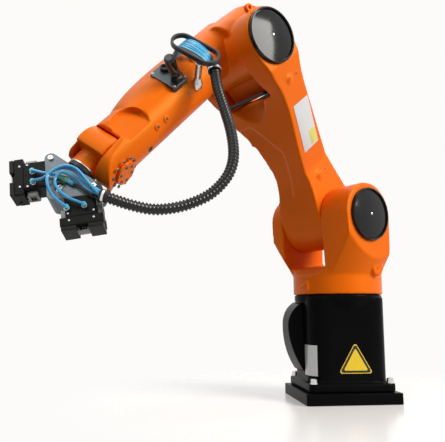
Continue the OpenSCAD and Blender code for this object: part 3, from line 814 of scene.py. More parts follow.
    @staticmethod
    def copies(obj: bpy.types.Object, places: Sequence[Matrix]) -> bpy.types.Object:
        """Copies a modelled piece to several places and joins the copies.

        Args:
            obj: The piece at the origin, which is used up.
            places: The matrix of each copy.

        Returns:
            The joined piece.
        """
        made = []
        for matrix in places:
            twin = obj.copy()
            twin.data = obj.data.copy()
            twin.data.transform(matrix)
            bpy.context.scene.collection.objects.link(twin)
            made.append(twin)
        name = obj.name
        bpy.data.objects.remove(obj)
        Bench.hold(made[0])
        for twin in made:
            twin.select_set(True)
        if len(made) > 1:
            bpy.ops.object.join()
        made[0].name = name
        return made[0]

    @staticmethod
    def cut(obj: bpy.types.Object, tool: bpy.types.Object) -> None:
        """Cuts one piece out of another and uses it up.

        Args:
            obj: The piece that is cut.
            tool: The cutting piece.
        """
        Bench.hold(obj)
        modifier = obj.modifiers.new("cut", "BOOLEAN")
        modifier.operation = "DIFFERENCE"
        modifier.object = tool
        bpy.ops.object.modifier_apply(modifier=modifier.name)
        bpy.data.objects.remove(tool)

    @staticmethod
    def finish(
        obj: bpy.types.Object,
        body: Body,
        finish: bpy.types.Material,
        slot: Slot,
        place: Matrix | None = None,
        smooth: float = 38.0,
    ) -> bpy.types.Object:
        """Places, shades and dresses a finished piece and rides it on its body.

        Args:
            obj: The piece.
            body: The body that carries it.
            finish: Its material.
            slot: The record's slot of that finish; not used.
            place: Matrix into the shared frame, if it isn't there yet.
            smooth: Angle in degrees below which edges shade smooth.

        Returns:
            The piece.
        """
        if place is not None:
            obj.data.transform(place)
        Bench.hold(obj)
        bpy.ops.object.shade_smooth_by_angle(angle=math.radians(smooth))
        obj.data.materials.clear()
        obj.data.materials.append(finish)
        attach(obj, body.value)
        log.info("piece %s rides on %s", obj.name, body.value)
        return obj


@dataclass(frozen=True)
class SocketScrew:
    """Cap screw with a six-sided socket, optionally on a washer; sizes in millimetres."""

    head_r: float
    head_h: float
    washer_r: float = 0.0
    washer_t: float = 0.0
    seat: float = 0.4

    def model(self, name: str) -> bpy.types.Object:
        """Models one screw on the origin, head up.

        Args:
            name: The piece's name.

        Returns:
            The screw.
        """
        r, h, w, t = self.head_r, self.head_h, self.washer_r, self.washer_t
        ease = r * 0.16
        foot = [(0, -self.seat), (w, -self.seat), (w, t)] if w else [(0, -self.seat)]
        head = [(r, t if w else -self.seat), (r, t + h - ease), (r - ease, t + h), (0, t + h)]
        screw = Bench.turn(name, [*foot, *head], 20)
        Bench.clear()
        bpy.ops.mesh.primitive_cylinder_add(vertices=6, radius=r * 0.56 * MM, depth=h * 1.1 * MM)
        key = bpy.context.object
        bpy.ops.object.mode_set(mode="EDIT")
        bpy.ops.transform.translate(value=(0, 0, (t + h) * MM))
        bpy.ops.object.mode_set(mode="OBJECT")
        Bench.cut(screw, key)
        return screw

    def fit(
        self, name: str, body: Body, finish: bpy.types.Material, places: Sequence[Matrix]
    ) -> bpy.types.Object:
        """Puts a group of screws on one body.

        Args:
            name: The group's name.
            body: The body that carries them.
            finish: Their material.
            places: Matrix of each screw.

        Returns:
            The group as one piece.
        """
        group = Bench.copies(self.model(name), places)
        return Bench.finish(group, body, finish, Slot.STEEL, smooth=30.0)


# Dressing of the CAD nodes


@dataclass(frozen=True)
class EdgeWork:
    """Rounding of a CAD node's edges: fine remesh in millimetres, then a few rounds of smoothing."""

    voxel: float
    rounds: int

    def apply(self, node: str) -> None:
        """Adds the live modifiers to a node.

        Args:
            node: The CAD node's name.
        """
        obj = frame["nodes"][node]
        remesh = obj.modifiers.new("even_mesh", "REMESH")
        remesh.mode = "VOXEL"
        remesh.voxel_size = self.voxel * MM
        remesh.use_smooth_shade = True
        soft = obj.modifiers.new("round_edges", "SMOOTH")
        soft.factor = 0.5
        soft.iterations = self.rounds


def dress_node(node: str, finish: bpy.types.Material, edges: EdgeWork | None = None) -> None:
    """Gives a CAD node its finish and its round edges.

    Args:
        node: The CAD node's name.
        finish: Its material.
        edges: How its edges are rounded.
    """
    obj = frame["nodes"][node]
    obj.data.materials.clear()
    obj.data.materials.append(finish)
    if edges:
        edges.apply(node)
    log.info("node %s gets %s", node, finish.name)


CASTING = EdgeWork(voxel=2.4, rounds=10)
SMALL_CASTING = EdgeWork(voxel=1.6, rounds=7)
MACHINED = EdgeWork(voxel=0.9, rounds=4)
FINE = EdgeWork(voxel=0.6, rounds=3)


# Units of the arm


@dataclass
class RoundCap:
    """Domed gloss cap with a rim, a groove and a bright button; sizes in millimetres."""

    radius: float
    rise: float = 9.0
    rim: float = 4.5
    groove: float = 1.5
    groove_deep: float = 2.0
    dome: float = 4.5
    dome_proud: float = 0.6
    button_r: float = 3.4

    @property
    def crown(self) -> float:
        """Gives the height of the dome's top."""
        return self.rise + self.dome_proud

    def outline(self) -> list[Pair]:
        """Gives the outline from the middle out to the seat.

        Returns:
            Radius and height of each point.
        """
        edge, rise, crown, dip = self.radius, self.rise, self.crown, self.button_r
        ring = edge - self.rim
        inner = ring - self.groove
        deep = crown - self.dome - self.groove_deep
        bulge = (inner**2 + self.dome**2) / (2 * self.dome)
        points = [(0.0, crown - 1.0), (dip + 0.8, crown - 1.0), (dip + 2.0, crown - 0.1)]
        for i in range(2, 13):
            r = inner * i / 12
            points.append((r, crown - (bulge - math.sqrt(bulge**2 - r**2))))
        points += [(inner + 0.3, deep), (ring - 0.2, deep), (ring, rise - 1.2), (ring + 0.9, rise - 0.2)]
        points += [(edge - 1.6, rise - 0.4), (edge - 0.4, rise - 1.5), (edge, rise - 3.0)]
        points += [(edge, 0.0), (0.0, 0.0)]
        return points

    def build(self, node: str, body: Body, place: Matrix, finishes: Finishes) -> None:
        """Models the cap and its button over a CAD cap.

        Args:
            node: The CAD cap that it stands for.
            body: The body that carries it.
            place: Matrix of its seat, Z outward.
            finishes: The materials.
        """
        cap = Bench.turn(f"{node}_dome", self.outline(), 72)
        Bench.finish(cap, body, finishes.cap, Slot.CAP, place, 32.0)
        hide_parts(node)
        crown, r = self.crown, self.button_r
        button = [(0.0, crown + 0.5), (r * 0.4, crown + 0.4), (r * 0.75, crown), (r, crown - 0.8)]
        button += [(r, crown - 2.0), (0.0, crown - 2.0)]
        knob = Bench.turn(f"{node}_button", button, 24)
        Bench.finish(knob, body, finishes.steel, Slot.STEEL, place, 50.0)


@dataclass
class BaseUnit:
    """Black base on its plate; sizes in millimetres."""

    places: Places
    finishes: Finishes
    foot_top: float = 45.0
    bolt_spot: float = 88.0
    face_y: float = -92.0
    corner_mid: float = 46.0
    corner_r: float = 46.0
    triangle_at: Pair = (7.8, 89.6)
    triangle_t: float = 0.5
    plate_lift: float = 0.2
    plate_flat: float = 16.0
    plate_sweep: float = 48.0
    plate_span: Pair = (60.0, 128.0)
    plate_t: float = 0.6

    def build(self) -> None:
        """Dresses the base nodes and adds bolts and bare plates."""
        fin = self.finishes
        dress_node("base_frame", fin.base, CASTING)
        dress_node("mounting_plate", fin.base, EdgeWork(voxel=2.2, rounds=2))
        dress_node("side_cover", fin.base, SMALL_CASTING)
        dress_node("socket_panel", fin.alloy, MACHINED)
        for node in ("power_socket", "signal_socket"):
            dress_node(node, fin.plastic, FINE)
        spots = [(x * self.bolt_spot, y * self.bolt_spot, self.foot_top) for x in (-1, 1) for y in (-1, 1)]
        places = [self.places.base.aimed(p, (0, 0, 1)) for p in spots]
        bolt = SocketScrew(head_r=7.4, head_h=9.0, washer_r=9.0, washer_t=1.8)
        bolt.fit("base_bolts", Body.BASE, fin.steel, places)
        self.bare_triangle()
        self.bare_plate()

    def bare_triangle(self) -> None:
        """Models the blank three-cornered plate with its plain border, in three thin layers."""
        fin = self.finishes
        x, z = self.triangle_at
        layers = (
            ("blank_triangle", 42.0, 7.0, 0.0, fin.signal_card),
            ("blank_triangle_border", 39.0, 6.0, 0.35, fin.black_card),
            ("blank_triangle_field", 30.5, 4.0, 0.6, fin.signal_card),
        )
        for name, radius, corner, lift, finish in layers:
            plate = self.triangle(name, radius, corner)
            place = self.places.base.aimed((x, self.face_y - lift, z), (0, -1, 0))
            Bench.finish(plate, Body.BASE, finish, Slot.BASE, place, 20.0)

    def triangle(self, name: str, radius: float, corner: float) -> bpy.types.Object:
        """Models one thin three-cornered plate with round corners.

        Args:
            name: The piece's name.
            radius: Distance of its corners from the middle before rounding, in millimetres.
            corner: How far from each corner the rounding starts, in millimetres.

        Returns:
            The plate.
        """
        thick = self.triangle_t * MM
        Bench.clear()
        bpy.ops.mesh.primitive_circle_add(vertices=3, radius=(radius + corner * 0.6) * MM, fill_type="NGON")
        obj = bpy.context.object
        obj.name = name
        bpy.ops.object.mode_set(mode="EDIT")
        bpy.ops.mesh.select_all(action="SELECT")
        bpy.ops.mesh.extrude_region_move(TRANSFORM_OT_translate={"value": (0, 0, thick)})
        Bench.pick_edges(obj, lambda a, b: abs(a.z - b.z) > thick / 2)
        bpy.ops.mesh.bevel(offset=corner * 1.3 * MM, segments=8, affect="EDGES")
        Bench.pick_edges(obj, lambda a, b: min(a.z, b.z) > thick * 0.9)
        bpy.ops.mesh.bevel(offset=thick * 0.3, segments=2, affect="EDGES")
        Bench.tidy()
        return obj

    def bare_plate(self) -> None:
        """Models the blank silver plate bent round the front corner."""
        mid, radius, steps = self.corner_mid, self.corner_r + self.plate_lift, 8
        line = [(-mid - radius, -mid + self.plate_flat), (-mid - radius, -mid)]
        for k in range(1, steps + 1):
            turn = math.radians(180 + self.plate_sweep * k / steps)
            line.append((-mid + radius * math.cos(turn), -mid + radius * math.sin(turn)))
        plate = Bench.ribbon("blank_silver_plate", line, *self.plate_span, self.plate_t)
        Bench.finish(plate, Body.BASE, self.finishes.silver_card, Slot.ALLOY)


@dataclass
class ColumnUnit:
    """Turning column with its two shoulder caps; sizes in millimetres."""

    places: Places
    finishes: Finishes
    shoulder: Triple = (25.0, 0.0, 425.0)
    ear_out: float = 126.0
    cap_r: float = 61.0
    boss: Triple = (-12.0, 116.6, 304.0)

    def build(self) -> None:
        """Dresses the casting and adds the caps and the screw in the boss."""
        dress_node("rotating_column", self.finishes.paint, CASTING)
        x, _, z = self.shoulder
        for node, side in (("shoulder_cap_right", 1), ("shoulder_cap_left", -1)):
            place = self.places.column.aimed((x, side * self.ear_out, z), (0, side, 0))
            RoundCap(self.cap_r).build(node, Body.COLUMN, place, self.finishes)
        spot = self.places.column.aimed(self.boss, (0, 1, 0))
        screw = SocketScrew(head_r=4.2, head_h=1.6)
        screw.fit("boss_screw", Body.COLUMN, self.finishes.paint, [spot])


@dataclass
class LinkArm:
    """Link arm with its elbow caps, lifting eye, blank label and pad screws; sizes in millimetres."""

    places: Places
    finishes: Finishes
    length: float = 455.0
    cheek_right: float = 132.0
    cheek_left: float = 85.0
    cap_r: float = 60.0
    slant: float = 0.3606
    pad_high: Triple = (2.0, 118.7, 358.1)
    pad_low: Triple = (-8.0, 43.7, 121.9)
    pad_rise: float = 3.2
    dot_aside: float = 28.0
    label_at: Triple = (-18.0, 78.4, 246.3)
    label_lift: float = 0.2
    label_wide: float = 58.0
    label_rise: float = 109.5
    label_t: float = 0.5
    block_size: Triple = (25.0, 36.0, 0.35)
    block_at: Triple = (14.5, 22.0, 0.4)

    def build(self) -> None:
        """Dresses the casting and adds the caps, the label and the screws."""
        fin = self.finishes
        dress_node("link_arm", fin.paint, EdgeWork(voxel=2.5, rounds=10))
        dress_node("lifting_eye", fin.paint, FINE)
        for node, side, out in (
            ("elbow_cap_right", 1, self.cheek_right),
            ("elbow_cap_left", -1, self.cheek_left),
        ):
            place = self.places.link.aimed((0, side * out, self.length), (0, side, 0))
            RoundCap(self.cap_r).build(node, Body.LINK, place, fin)
        self.bare_label()
        self.pad_screws()

    def pad_screws(self) -> None:
        """Puts a painted screw on each cast pad of the right side and a small dark one beside it."""
        lean = math.hypot(1.0, self.slant)
        high = (0.0, 1.0 / lean, -self.slant / lean)
        pads = ((self.pad_high, high), (self.pad_low, (0.0, 1.0, 0.0)))
        heads, dots = [], []
        for spot, normal in pads:
            top = Vector(spot) + Vector(normal) * self.pad_rise
            heads.append(self.places.link.aimed(top, normal))
            dots.append(self.places.link.aimed(Vector(spot) - Vector((self.dot_aside, 0, 0)), normal))
        large, small = SocketScrew(head_r=4.4, head_h=1.4), SocketScrew(head_r=2.4, head_h=0.8)
        large.fit("pad_screws", Body.LINK, self.finishes.paint, heads)
        small.fit("pad_dots", Body.LINK, self.finishes.dark_steel, dots)

    def bare_label(self) -> None:
        """Models the blank white label with its plain yellow block on the slanting right face."""
        fin = self.finishes
        tall = self.label_rise * math.hypot(1.0, self.slant)
        normal = Vector((0, 1, -self.slant)).normalized()
        along = Vector((0, self.slant, 1)).normalized()
        mid = Vector(self.label_at) + normal * self.label_lift
        place = Place.from_axes(self.places.link.at(mid), *self.label_axes(along, normal))
        card = Bench.block("blank_label", (self.label_wide, tall, self.label_t), corner=1.5, ease=0.15)
        Bench.finish(card, Body.LINK, fin.white_card, Slot.PAINT, place.matrix)
        patch = Bench.block("blank_label_block", self.block_size, corner=0.8, ease=0.1)
        x, up, lift = self.block_at
        spot = place.matrix @ Matrix.Translation(Vector((x, up - tall / 2, lift)) * MM)
        Bench.finish(patch, Body.LINK, fin.yellow_card, Slot.PAINT, spot)

    def label_axes(self, along: Vector, normal: Vector) -> tuple[Vector, Vector]:
        """Gives the label's two axes in the shared frame.

        Args:
            along: Its long axis in the link's frame.
            normal: Its normal in the link's frame.

        Returns:
            The short and the long axis.
        """
        turn = self.places.link.matrix.to_3x3()
        return turn @ along.cross(normal), turn @ along


@dataclass
class ForearmUnit:
    """Elbow housing, forearm, wrist covers, connectors and hose ring; sizes in millimetres.

    Each section of the swelling is a distance along the tube, a shift to the left and a radius.
    """

    places: Places
    finishes: Finishes
    length: float = 420.0
    tine_right: float = 64.5
    plate_top: float = 59.5
    cover_t: float = 5.0
    tube_mid: float = 12.0
    tube_r: float = 52.5
    panel_mid: Pair = (214.0, 7.0)
    plug_at: Pair = (212.0, 24.0)
    plug_lean: float = 25.0
    # The strip under the elbow housing is dark plastic that paints the shade in the gap to the link arm.
    shade_strip_r: float = 102.0
    shade_strip_t: float = 5.0
    shade_strip_span: Pair = (-54.0, 73.0)
    shade_strip_from: float = 60.0
    shade_strip_sweep: float = 36.0
    swelling: tuple[Triple, ...] = (
        (121, 8.0, 50.0), (126, 10.0, 53.0), (136, 12.5, 55.0), (152, 14.0, 56.2), (172, 14.5, 56.6),
        (194, 14.5, 56.6), (216, 14.0, 56.6), (238, 13.2, 56.4), (260, 12.0, 56.0), (280, 10.4, 55.4),
        (298, 8.2, 54.6), (314, 5.8, 53.7), (326, 4.0, 52.6), (333, 3.0, 50.0),
    )  # fmt: skip
    scoop_at: Triple = (352.0, 24.0, 70.0)
    scoop_r: float = 36.5
    scoop_deep: float = 60.0
    wrist_ring: tuple[int, float] = (10, 30.0)
    cover_ring: tuple[int, float] = (6, 17.0)
    screw_sunk: float = 0.4
    pads_along: Pair = (285.5, 313.0)
    pads_round: float = 58.0
    pad_rise: float = 1.2
    seam_screw_at: Pair = (204.0, 51.0)
    side_plug_at: Pair = (343.5, 92.0)
    nub_at: Triple = (446.0, 52.0, -25.0)
    nub_aim: Triple = (0.72, 0.12, -0.68)
    plug_seat: float = 6.0
    nut_r: float = 13.5
    nut_h: float = 10.0
    nut_roll: float = 12.0
    panel_screws: Pair = (17.5, 26.5)
    panel_cap: Pair = (-14.0, -4.0)
    clamp_at: Triple = (162.0, 78.0, 76.0)
    clamp_back: Triple = (-31.0, -30.0, 6.0)
    clamp_step: float = 3.0
    post_feet: tuple[Triple, ...] = ((134.5, 11.5, 53.0), (177.5, 50.5, 38.5))
    hose_lanes: tuple[float, ...] = (-2.0, -1.2, -0.4, 0.4, 1.2, 2.0)
    hose_gap: float = 6.6
    hose_r: float = 2.6

    def build(self) -> None:
        """Dresses the nodes and adds what rides on the elbow and on the forearm."""
        fin = self.finishes
        dress_node("elbow_housing", fin.paint, CASTING)
        dress_node("forearm", fin.paint, EdgeWork(voxel=1.9, rounds=8))
        for node in ("wrist_cover_right", "wrist_cover_left"):
            dress_node(node, fin.paint, FINE)
        dress_node("connector_panel", fin.bracket, MACHINED)
        dress_node("connector_lower", fin.plastic, FINE)
        dress_node("hose_ring", fin.ring, MACHINED)
        dress_node("ring_standoffs", fin.steel, FINE)
        dress_node("conduit_clamp", fin.plastic, FINE)
        self.painted_shade_strip()
        self.tube_swelling()
        self.wrist_screws()
        self.side_pads()
        self.wrist_nub()
        self.long_plug()
        self.panel_fittings()
        self.ring_feet()
        self.ring_hoses()

    def painted_shade_strip(self) -> None:
        """Adds a dark plastic strip under the elbow housing that paints the shade in the gap to the link arm.
        """
        elbow = self.places.elbow
        x, z = (elbow.matrix.to_3x3() @ Vector(axis) for axis in ((1, 0, 0), (0, 0, 1)))
        seen_from_side = Place.from_axes(elbow.at((0, 0, 0)), x, -z)
        steps = 12
        turns = [math.radians(self.shade_strip_from + self.shade_strip_sweep * k / steps) for k in range(steps + 1)]
        line = [(self.shade_strip_r * math.cos(t), self.shade_strip_r * math.sin(t)) for t in turns]
        # Dark plastic strip that paints the shade in the slit between elbow housing and link arm.
        strip = Bench.ribbon("painted_shade_strip", line, *self.shade_strip_span, self.shade_strip_t)
        Bench.finish(strip, Body.ELBOW, self.finishes.plastic, Slot.PLASTIC, seen_from_side.matrix, 30.0)

    def tube_swelling(self) -> None:
        """Adds the cast swelling along the left side of the tube, cut by the scoop of the wrist."""
        fore = self.places.forearm
        widest = max(r for _, _, r in self.swelling)
        line = [fore.at((x, self.tube_mid - shift, 0)) for x, shift, _ in self.swelling]
        swell = Bench.sweep("tube_swelling", line, widest, [r / widest for _, _, r in self.swelling], 14)
        Bench.clear()
        spot = Vector(self.scoop_at) * MM
        bpy.ops.mesh.primitive_cylinder_add(
            vertices=64, radius=self.scoop_r * MM, depth=self.scoop_deep * MM, location=spot
        )
        scoop = bpy.context.object
        bpy.ops.object.transform_apply(location=True)
        scoop.data.transform(fore.matrix)
        Bench.cut(swell, scoop)
        Bench.finish(swell, Body.FOREARM, self.finishes.paint, Slot.PAINT, smooth=50.0)

    def wrist_screws(self) -> None:
        """Puts the dark screws round the right wrist cover and on it."""
        fore, dark = self.places.forearm, self.finishes.dark_steel
        screw = SocketScrew(head_r=3.4, head_h=2.0)
        rings = (("wrist_screws", *self.wrist_ring, 0.0), ("cover_screws", *self.cover_ring, self.cover_t))
        for name, count, radius, out in rings:
            face = self.tine_right + out - self.screw_sunk
            places = []
            for k in range(count):
                turn = math.tau * (k + 0.5) / count
                spot = (self.length + radius * math.cos(turn), face, radius * math.sin(turn))
                places.append(fore.aimed(spot, (0, 1, 0)))
            screw.fit(name, Body.FOREARM, dark, places)

    def on_tube(self, x: float, degrees: float, lift: float = 0.0) -> Matrix:
        """Gives the matrix of a piece that stands on the tube.

        Args:
            x: Distance along the forearm in millimetres.
            degrees: Angle round the tube, from the top towards the right side.
            lift: Height above the surface in millimetres.

        Returns:
            The matrix with Z away from the tube.
        """
        turn = math.radians(degrees)
        out = Vector((0, math.sin(turn), math.cos(turn)))
        return self.places.forearm.aimed(Vector((x, self.tube_mid, 0)) + out * (self.tube_r + lift), out)

    def side_pads(self) -> None:
        """Adds two small cast pads with their screws, a dark plug and a seam screw on the right side."""
        fin = self.finishes
        outline = [(0, 1.0), (2.8, 1.0), (3.2, 2.2), (5.8, 2.4), (6.8, 1.6)]
        outline += [(7.6, -0.6), (7.6, -2.0), (0, -2.0)]
        spots = [self.on_tube(x, self.pads_round) for x in self.pads_along]
        pads = Bench.copies(Bench.turn("forearm_pads", outline, 32), spots)
        Bench.finish(pads, Body.FOREARM, fin.paint, Slot.PAINT, smooth=45.0)
        lifted = [self.on_tube(x, self.pads_round, self.pad_rise) for x in self.pads_along]
        pad_screw, seam_screw = SocketScrew(head_r=2.7, head_h=0.9), SocketScrew(head_r=2.4, head_h=0.8)
        pad_screw.fit("forearm_pad_screws", Body.FOREARM, fin.dark_steel, lifted)
        seam_screw.fit("seam_screw", Body.FOREARM, fin.dark_steel, [self.on_tube(*self.seam_screw_at)])
        hollow = [(0, 0.2), (4.0, 0.2), (4.4, 0.9), (5.4, 0.9), (5.9, 0.3), (5.9, -2.0), (0, -2.0)]
        plug = Bench.turn("side_plug", hollow, 32)
        Bench.finish(plug, Body.FOREARM, fin.plastic, Slot.PLASTIC, self.on_tube(*self.side_plug_at), 40.0)

    def wrist_nub(self) -> None:
        """Adds the cast nub with its steel tip on the lower end of the right tine."""
        fin = self.finishes
        place = self.places.forearm.aimed(self.nub_at, self.nub_aim)
        boss = [(0, 9.0), (3.6, 9.0), (4.6, 8.0), (5.6, 2.0), (6.6, -3.0), (0, -3.0)]
        Bench.finish(Bench.turn("wrist_nub", boss, 32), Body.FOREARM, fin.paint, Slot.PAINT, place, 45.0)
        tip = [(0, 12.6), (1.4, 12.3), (2.5, 11.2), (2.9, 9.8), (2.9, 8.0), (0, 8.0)]
        Bench.finish(Bench.turn("wrist_nub_tip", tip, 24), Body.FOREARM, fin.steel, Slot.STEEL, place, 60.0)

    def long_plug(self) -> None:
        """Models the long leaning plug with its nut, band and ribbed sleeve over the CAD connector."""
        fin, fore = self.finishes, self.places.forearm
        x, y = self.plug_at
        lean = math.radians(self.plug_lean)
        axis = (math.sin(lean), 0.0, math.cos(lean))
        place = fore.aimed((x, y, self.plate_top + self.plug_seat), axis)
        sleeve = [(0, 8.0), (9.2, 8.0), (10.4, 9.0), (10.4, 15.0)]
        for k in range(5):
            z = 16.0 + 2.4 * k
            sleeve += [(11.0, z), (11.0, z + 1.2), (10.3, z + 1.5), (10.3, z + 2.1)]
        sleeve += [(10.6, 29.0), (10.6, 66.0), (9.6, 68.5), (8.0, 69.4)]
        sleeve += [(6.5, 69.4), (6.0, 71.0), (0, 71.0)]
        body = Bench.turn("connector_sleeve", sleeve, 40)
        Bench.finish(body, Body.FOREARM, fin.conduit, Slot.PLASTIC, place, 35.0)
        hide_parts("connector_upper")
        band = [(0, 0), (9.0, 0), (9.6, 1.0), (9.6, 7.0), (9.0, 8.2), (0, 8.2)]
        Bench.finish(Bench.turn("connector_band", band, 40), Body.FOREARM, fin.paint, Slot.PAINT, place, 40.0)
        nut = self.plug_nut()
        seat = fore.aimed((x, y, self.plate_top), (0, 0, 1), roll=self.nut_roll)
        Bench.finish(nut, Body.FOREARM, fin.plastic, Slot.PLASTIC, seat, 35.0)
        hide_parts("connector_upper")

    def plug_nut(self) -> bpy.types.Object:
        """Models the six-sided nut of the long plug with a raised face and a hollow in it.

        Returns:
            The nut, standing on the origin.
        """
        Bench.clear()
        high = self.nut_h * MM
        bpy.ops.mesh.primitive_cylinder_add(vertices=6, radius=self.nut_r * MM, depth=high)
        nut = bpy.context.object
        nut.name = "connector_nut"
        bpy.ops.object.mode_set(mode="EDIT")
        bpy.ops.transform.translate(value=(0, 0, high / 2))
        Bench.pick_faces(nut, lambda c, n: n.z > 0.9)
        bpy.ops.mesh.inset(thickness=1.8 * MM)
        bpy.ops.transform.translate(value=(0, 0, 1.6 * MM))
        bpy.ops.mesh.inset(thickness=1.2 * MM)
        bpy.ops.mesh.extrude_region_move(TRANSFORM_OT_translate={"value": (0, 0, -2.0 * MM)})
        Bench.pick_edges(nut, lambda a, b: abs(a.z - b.z) > high / 2)
        bpy.ops.mesh.bevel(offset=0.6 * MM, segments=2, affect="EDGES")
        Bench.tidy()
        return nut

    def panel_fittings(self) -> None:
        """Adds the panel's screws, its bronze cap and the steel band of the conduit clamp."""
        fin, fore = self.finishes, self.places.forearm
        x, y = self.panel_mid
        aside, along = self.panel_screws
        spots = [(x + sx * aside, y + sy * along, self.plate_top - 0.3) for sx in (-1, 1) for sy in (-1, 1)]
        places = [fore.aimed(p, (0, 0, 1)) for p in spots]
        SocketScrew(head_r=2.6, head_h=1.8).fit("panel_screws", Body.FOREARM, fin.steel, places)
        cap = [(0, 13.0), (3.2, 12.8), (5.4, 11.6), (6.4, 9.6), (6.4, 3.0)]
        cap += [(7.4, 2.4), (7.4, -0.3), (0, -0.3)]
        place = fore.aimed((x + self.panel_cap[0], y + self.panel_cap[1], self.plate_top), (0, 0, 1))
        Bench.finish(Bench.turn("panel_cap", cap, 32), Body.FOREARM, fin.bronze, Slot.ALLOY, place, 40.0)
        back = Vector(self.clamp_back).normalized()
        place = fore.aimed(Vector(self.clamp_at) + back * self.clamp_step, back)
        ring = [(13.3, -1.0), (14.3, -0.6), (14.3, 3.6), (13.3, 4.0), (13.3, -1.0)]
        Bench.finish(Bench.turn("clamp_band", ring, 48), Body.FOREARM, fin.steel, Slot.STEEL, place, 40.0)

    def ring_feet(self) -> None:
        """Adds the bright flared foot of each ring post."""
        fin, fore = self.finishes, self.places.forearm
        outline = [(0, 17.0), (7.0, 17.0), (7.6, 15.5), (9.5, 8.0), (11.0, 5.0), (11.0, -6.0), (0, -6.0)]
        places = [fore.aimed(p, (0, 0, 1)) for p in self.post_feet]
        feet = Bench.copies(Bench.turn("ring_feet", outline, 40), places)
        Bench.finish(feet, Body.FOREARM, fin.steel, Slot.STEEL, smooth=35.0)

    def ring_hoses(self) -> None:
        """Models the fine hoses that arch through the ring, over the CAD hoses."""
        fore, fin = self.places.forearm, self.finishes
        for i, k in enumerate(self.hose_lanes):
            side = k * self.hose_gap
            points = (
                (150 + side, -16, 38), (149 + side, -19, 66), (152 + side, -6, 92),
                (156 + side, 20, 103 - abs(k)), (156 + side * 0.8, 46, 97),
                (152 + side * 0.7, 62, 83 + k), (154 + side * 0.5, 71, 77 + k),
            )  # fmt: skip
            line = smooth_path([fore.at(p) for p in points], 10)
            hose = Bench.sweep(f"ring_hose_{i + 1}", line, self.hose_r, sides=4)
            Bench.finish(hose, Body.FOREARM, fin.pale_hose if i % 2 else fin.hose, Slot.HOSE, smooth=60.0)
            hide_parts("ring_hoses")


@dataclass
class Conduit:
    """Free corrugated conduit from its clamp to the gripper, in the forearm's frame in millimetres."""

    places: Places
    finishes: Finishes
    radius: float = 10.5
    valley: float = 0.79
    pitch: float = 6.8
    rib_steps: int = 4
    upper: tuple[Triple, ...] = (
        (162, 78, 76), (193, 108, 70), (225, 146, 64), (256, 181, 59), (287, 209, 52), (315, 225, 46),
        (345, 231, 39), (382, 226, 31), (417, 208, 24), (445, 186, 21),
    )  # fmt: skip
    lower: tuple[Triple, ...] = ((-28, 70, -3), (-12, 36, -2), (0, 0, 0))
    end_in_tool: Triple = (18.0, 90.0, 32.8)
    upper_bend: tuple[Triple, ...] = ((265, 190, 57), (415, 208, 24))
    lower_bend: tuple[Triple, ...] = ((420, 206, 23), (488, 108, 20))

    def path(self) -> list[Vector]:
        """Gives the conduit's smooth line in the shared frame.

        Returns:
            Points in metres.
        """
        fore = self.places.forearm
        end = fore.matrix.inverted() @ self.places.tool.at(self.end_in_tool)
        points = [fore.at(p) for p in self.upper]
        points += [fore.matrix @ (end + Vector(p) * MM) for p in self.lower]
        return smooth_path(points, 12)

    def build(self) -> None:
        steps = self.rib_steps
        fine = even_path(self.path(), self.pitch * MM / steps)
        ribs = [1.0 if i % steps in (1, 2) else self.valley for i in range(len(fine))]
        meet = self.meeting(fine)
        log.info("conduit is %.3f m long", path_length(fine))
        fore = self.places.forearm
        first = self.stretch("conduit_upper", fine[: meet + 1], ribs[: meet + 1])
        fore.at(self.upper_bend[0])
        fore.at(self.upper_bend[1])
        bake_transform(first)
        second = self.stretch("conduit_lower", fine[meet:], ribs[meet:])
        fore.at(self.lower_bend[0])
        fore.at(self.lower_bend[1])
        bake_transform(second)
        for piece, part in ((first, fine[: meet + 1]), (second, fine[meet:])):
            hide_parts("conduit")

    def meeting(self, fine: Sequence[Vector]) -> int:
        """Finds the point where the two stretches meet.

        Args:
            fine: The conduit's line.

        Returns:
            The index of the meeting point.
        """
        spot = self.places.forearm.at(self.lower_bend[0])
        return min(range(len(fine)), key=lambda i: (fine[i] - spot).length)

    def stretch(self, name: str, path: Sequence[Vector], ribs: Sequence[float]) -> bpy.types.Object:
        """Models one ribbed stretch.

        Args:
            name: The piece's name.
            path: Its line.
            ribs: Share of the radius along it.

        Returns:
            The stretch.
        """
        obj = Bench.sweep(name, path, self.radius, ribs, 5)
        Bench.hold(obj)
        bpy.ops.object.shade_smooth_by_angle(angle=math.radians(60))
        obj.data.materials.append(self.finishes.conduit)
        log.info("piece %s bends with the wrist", name)
        return obj


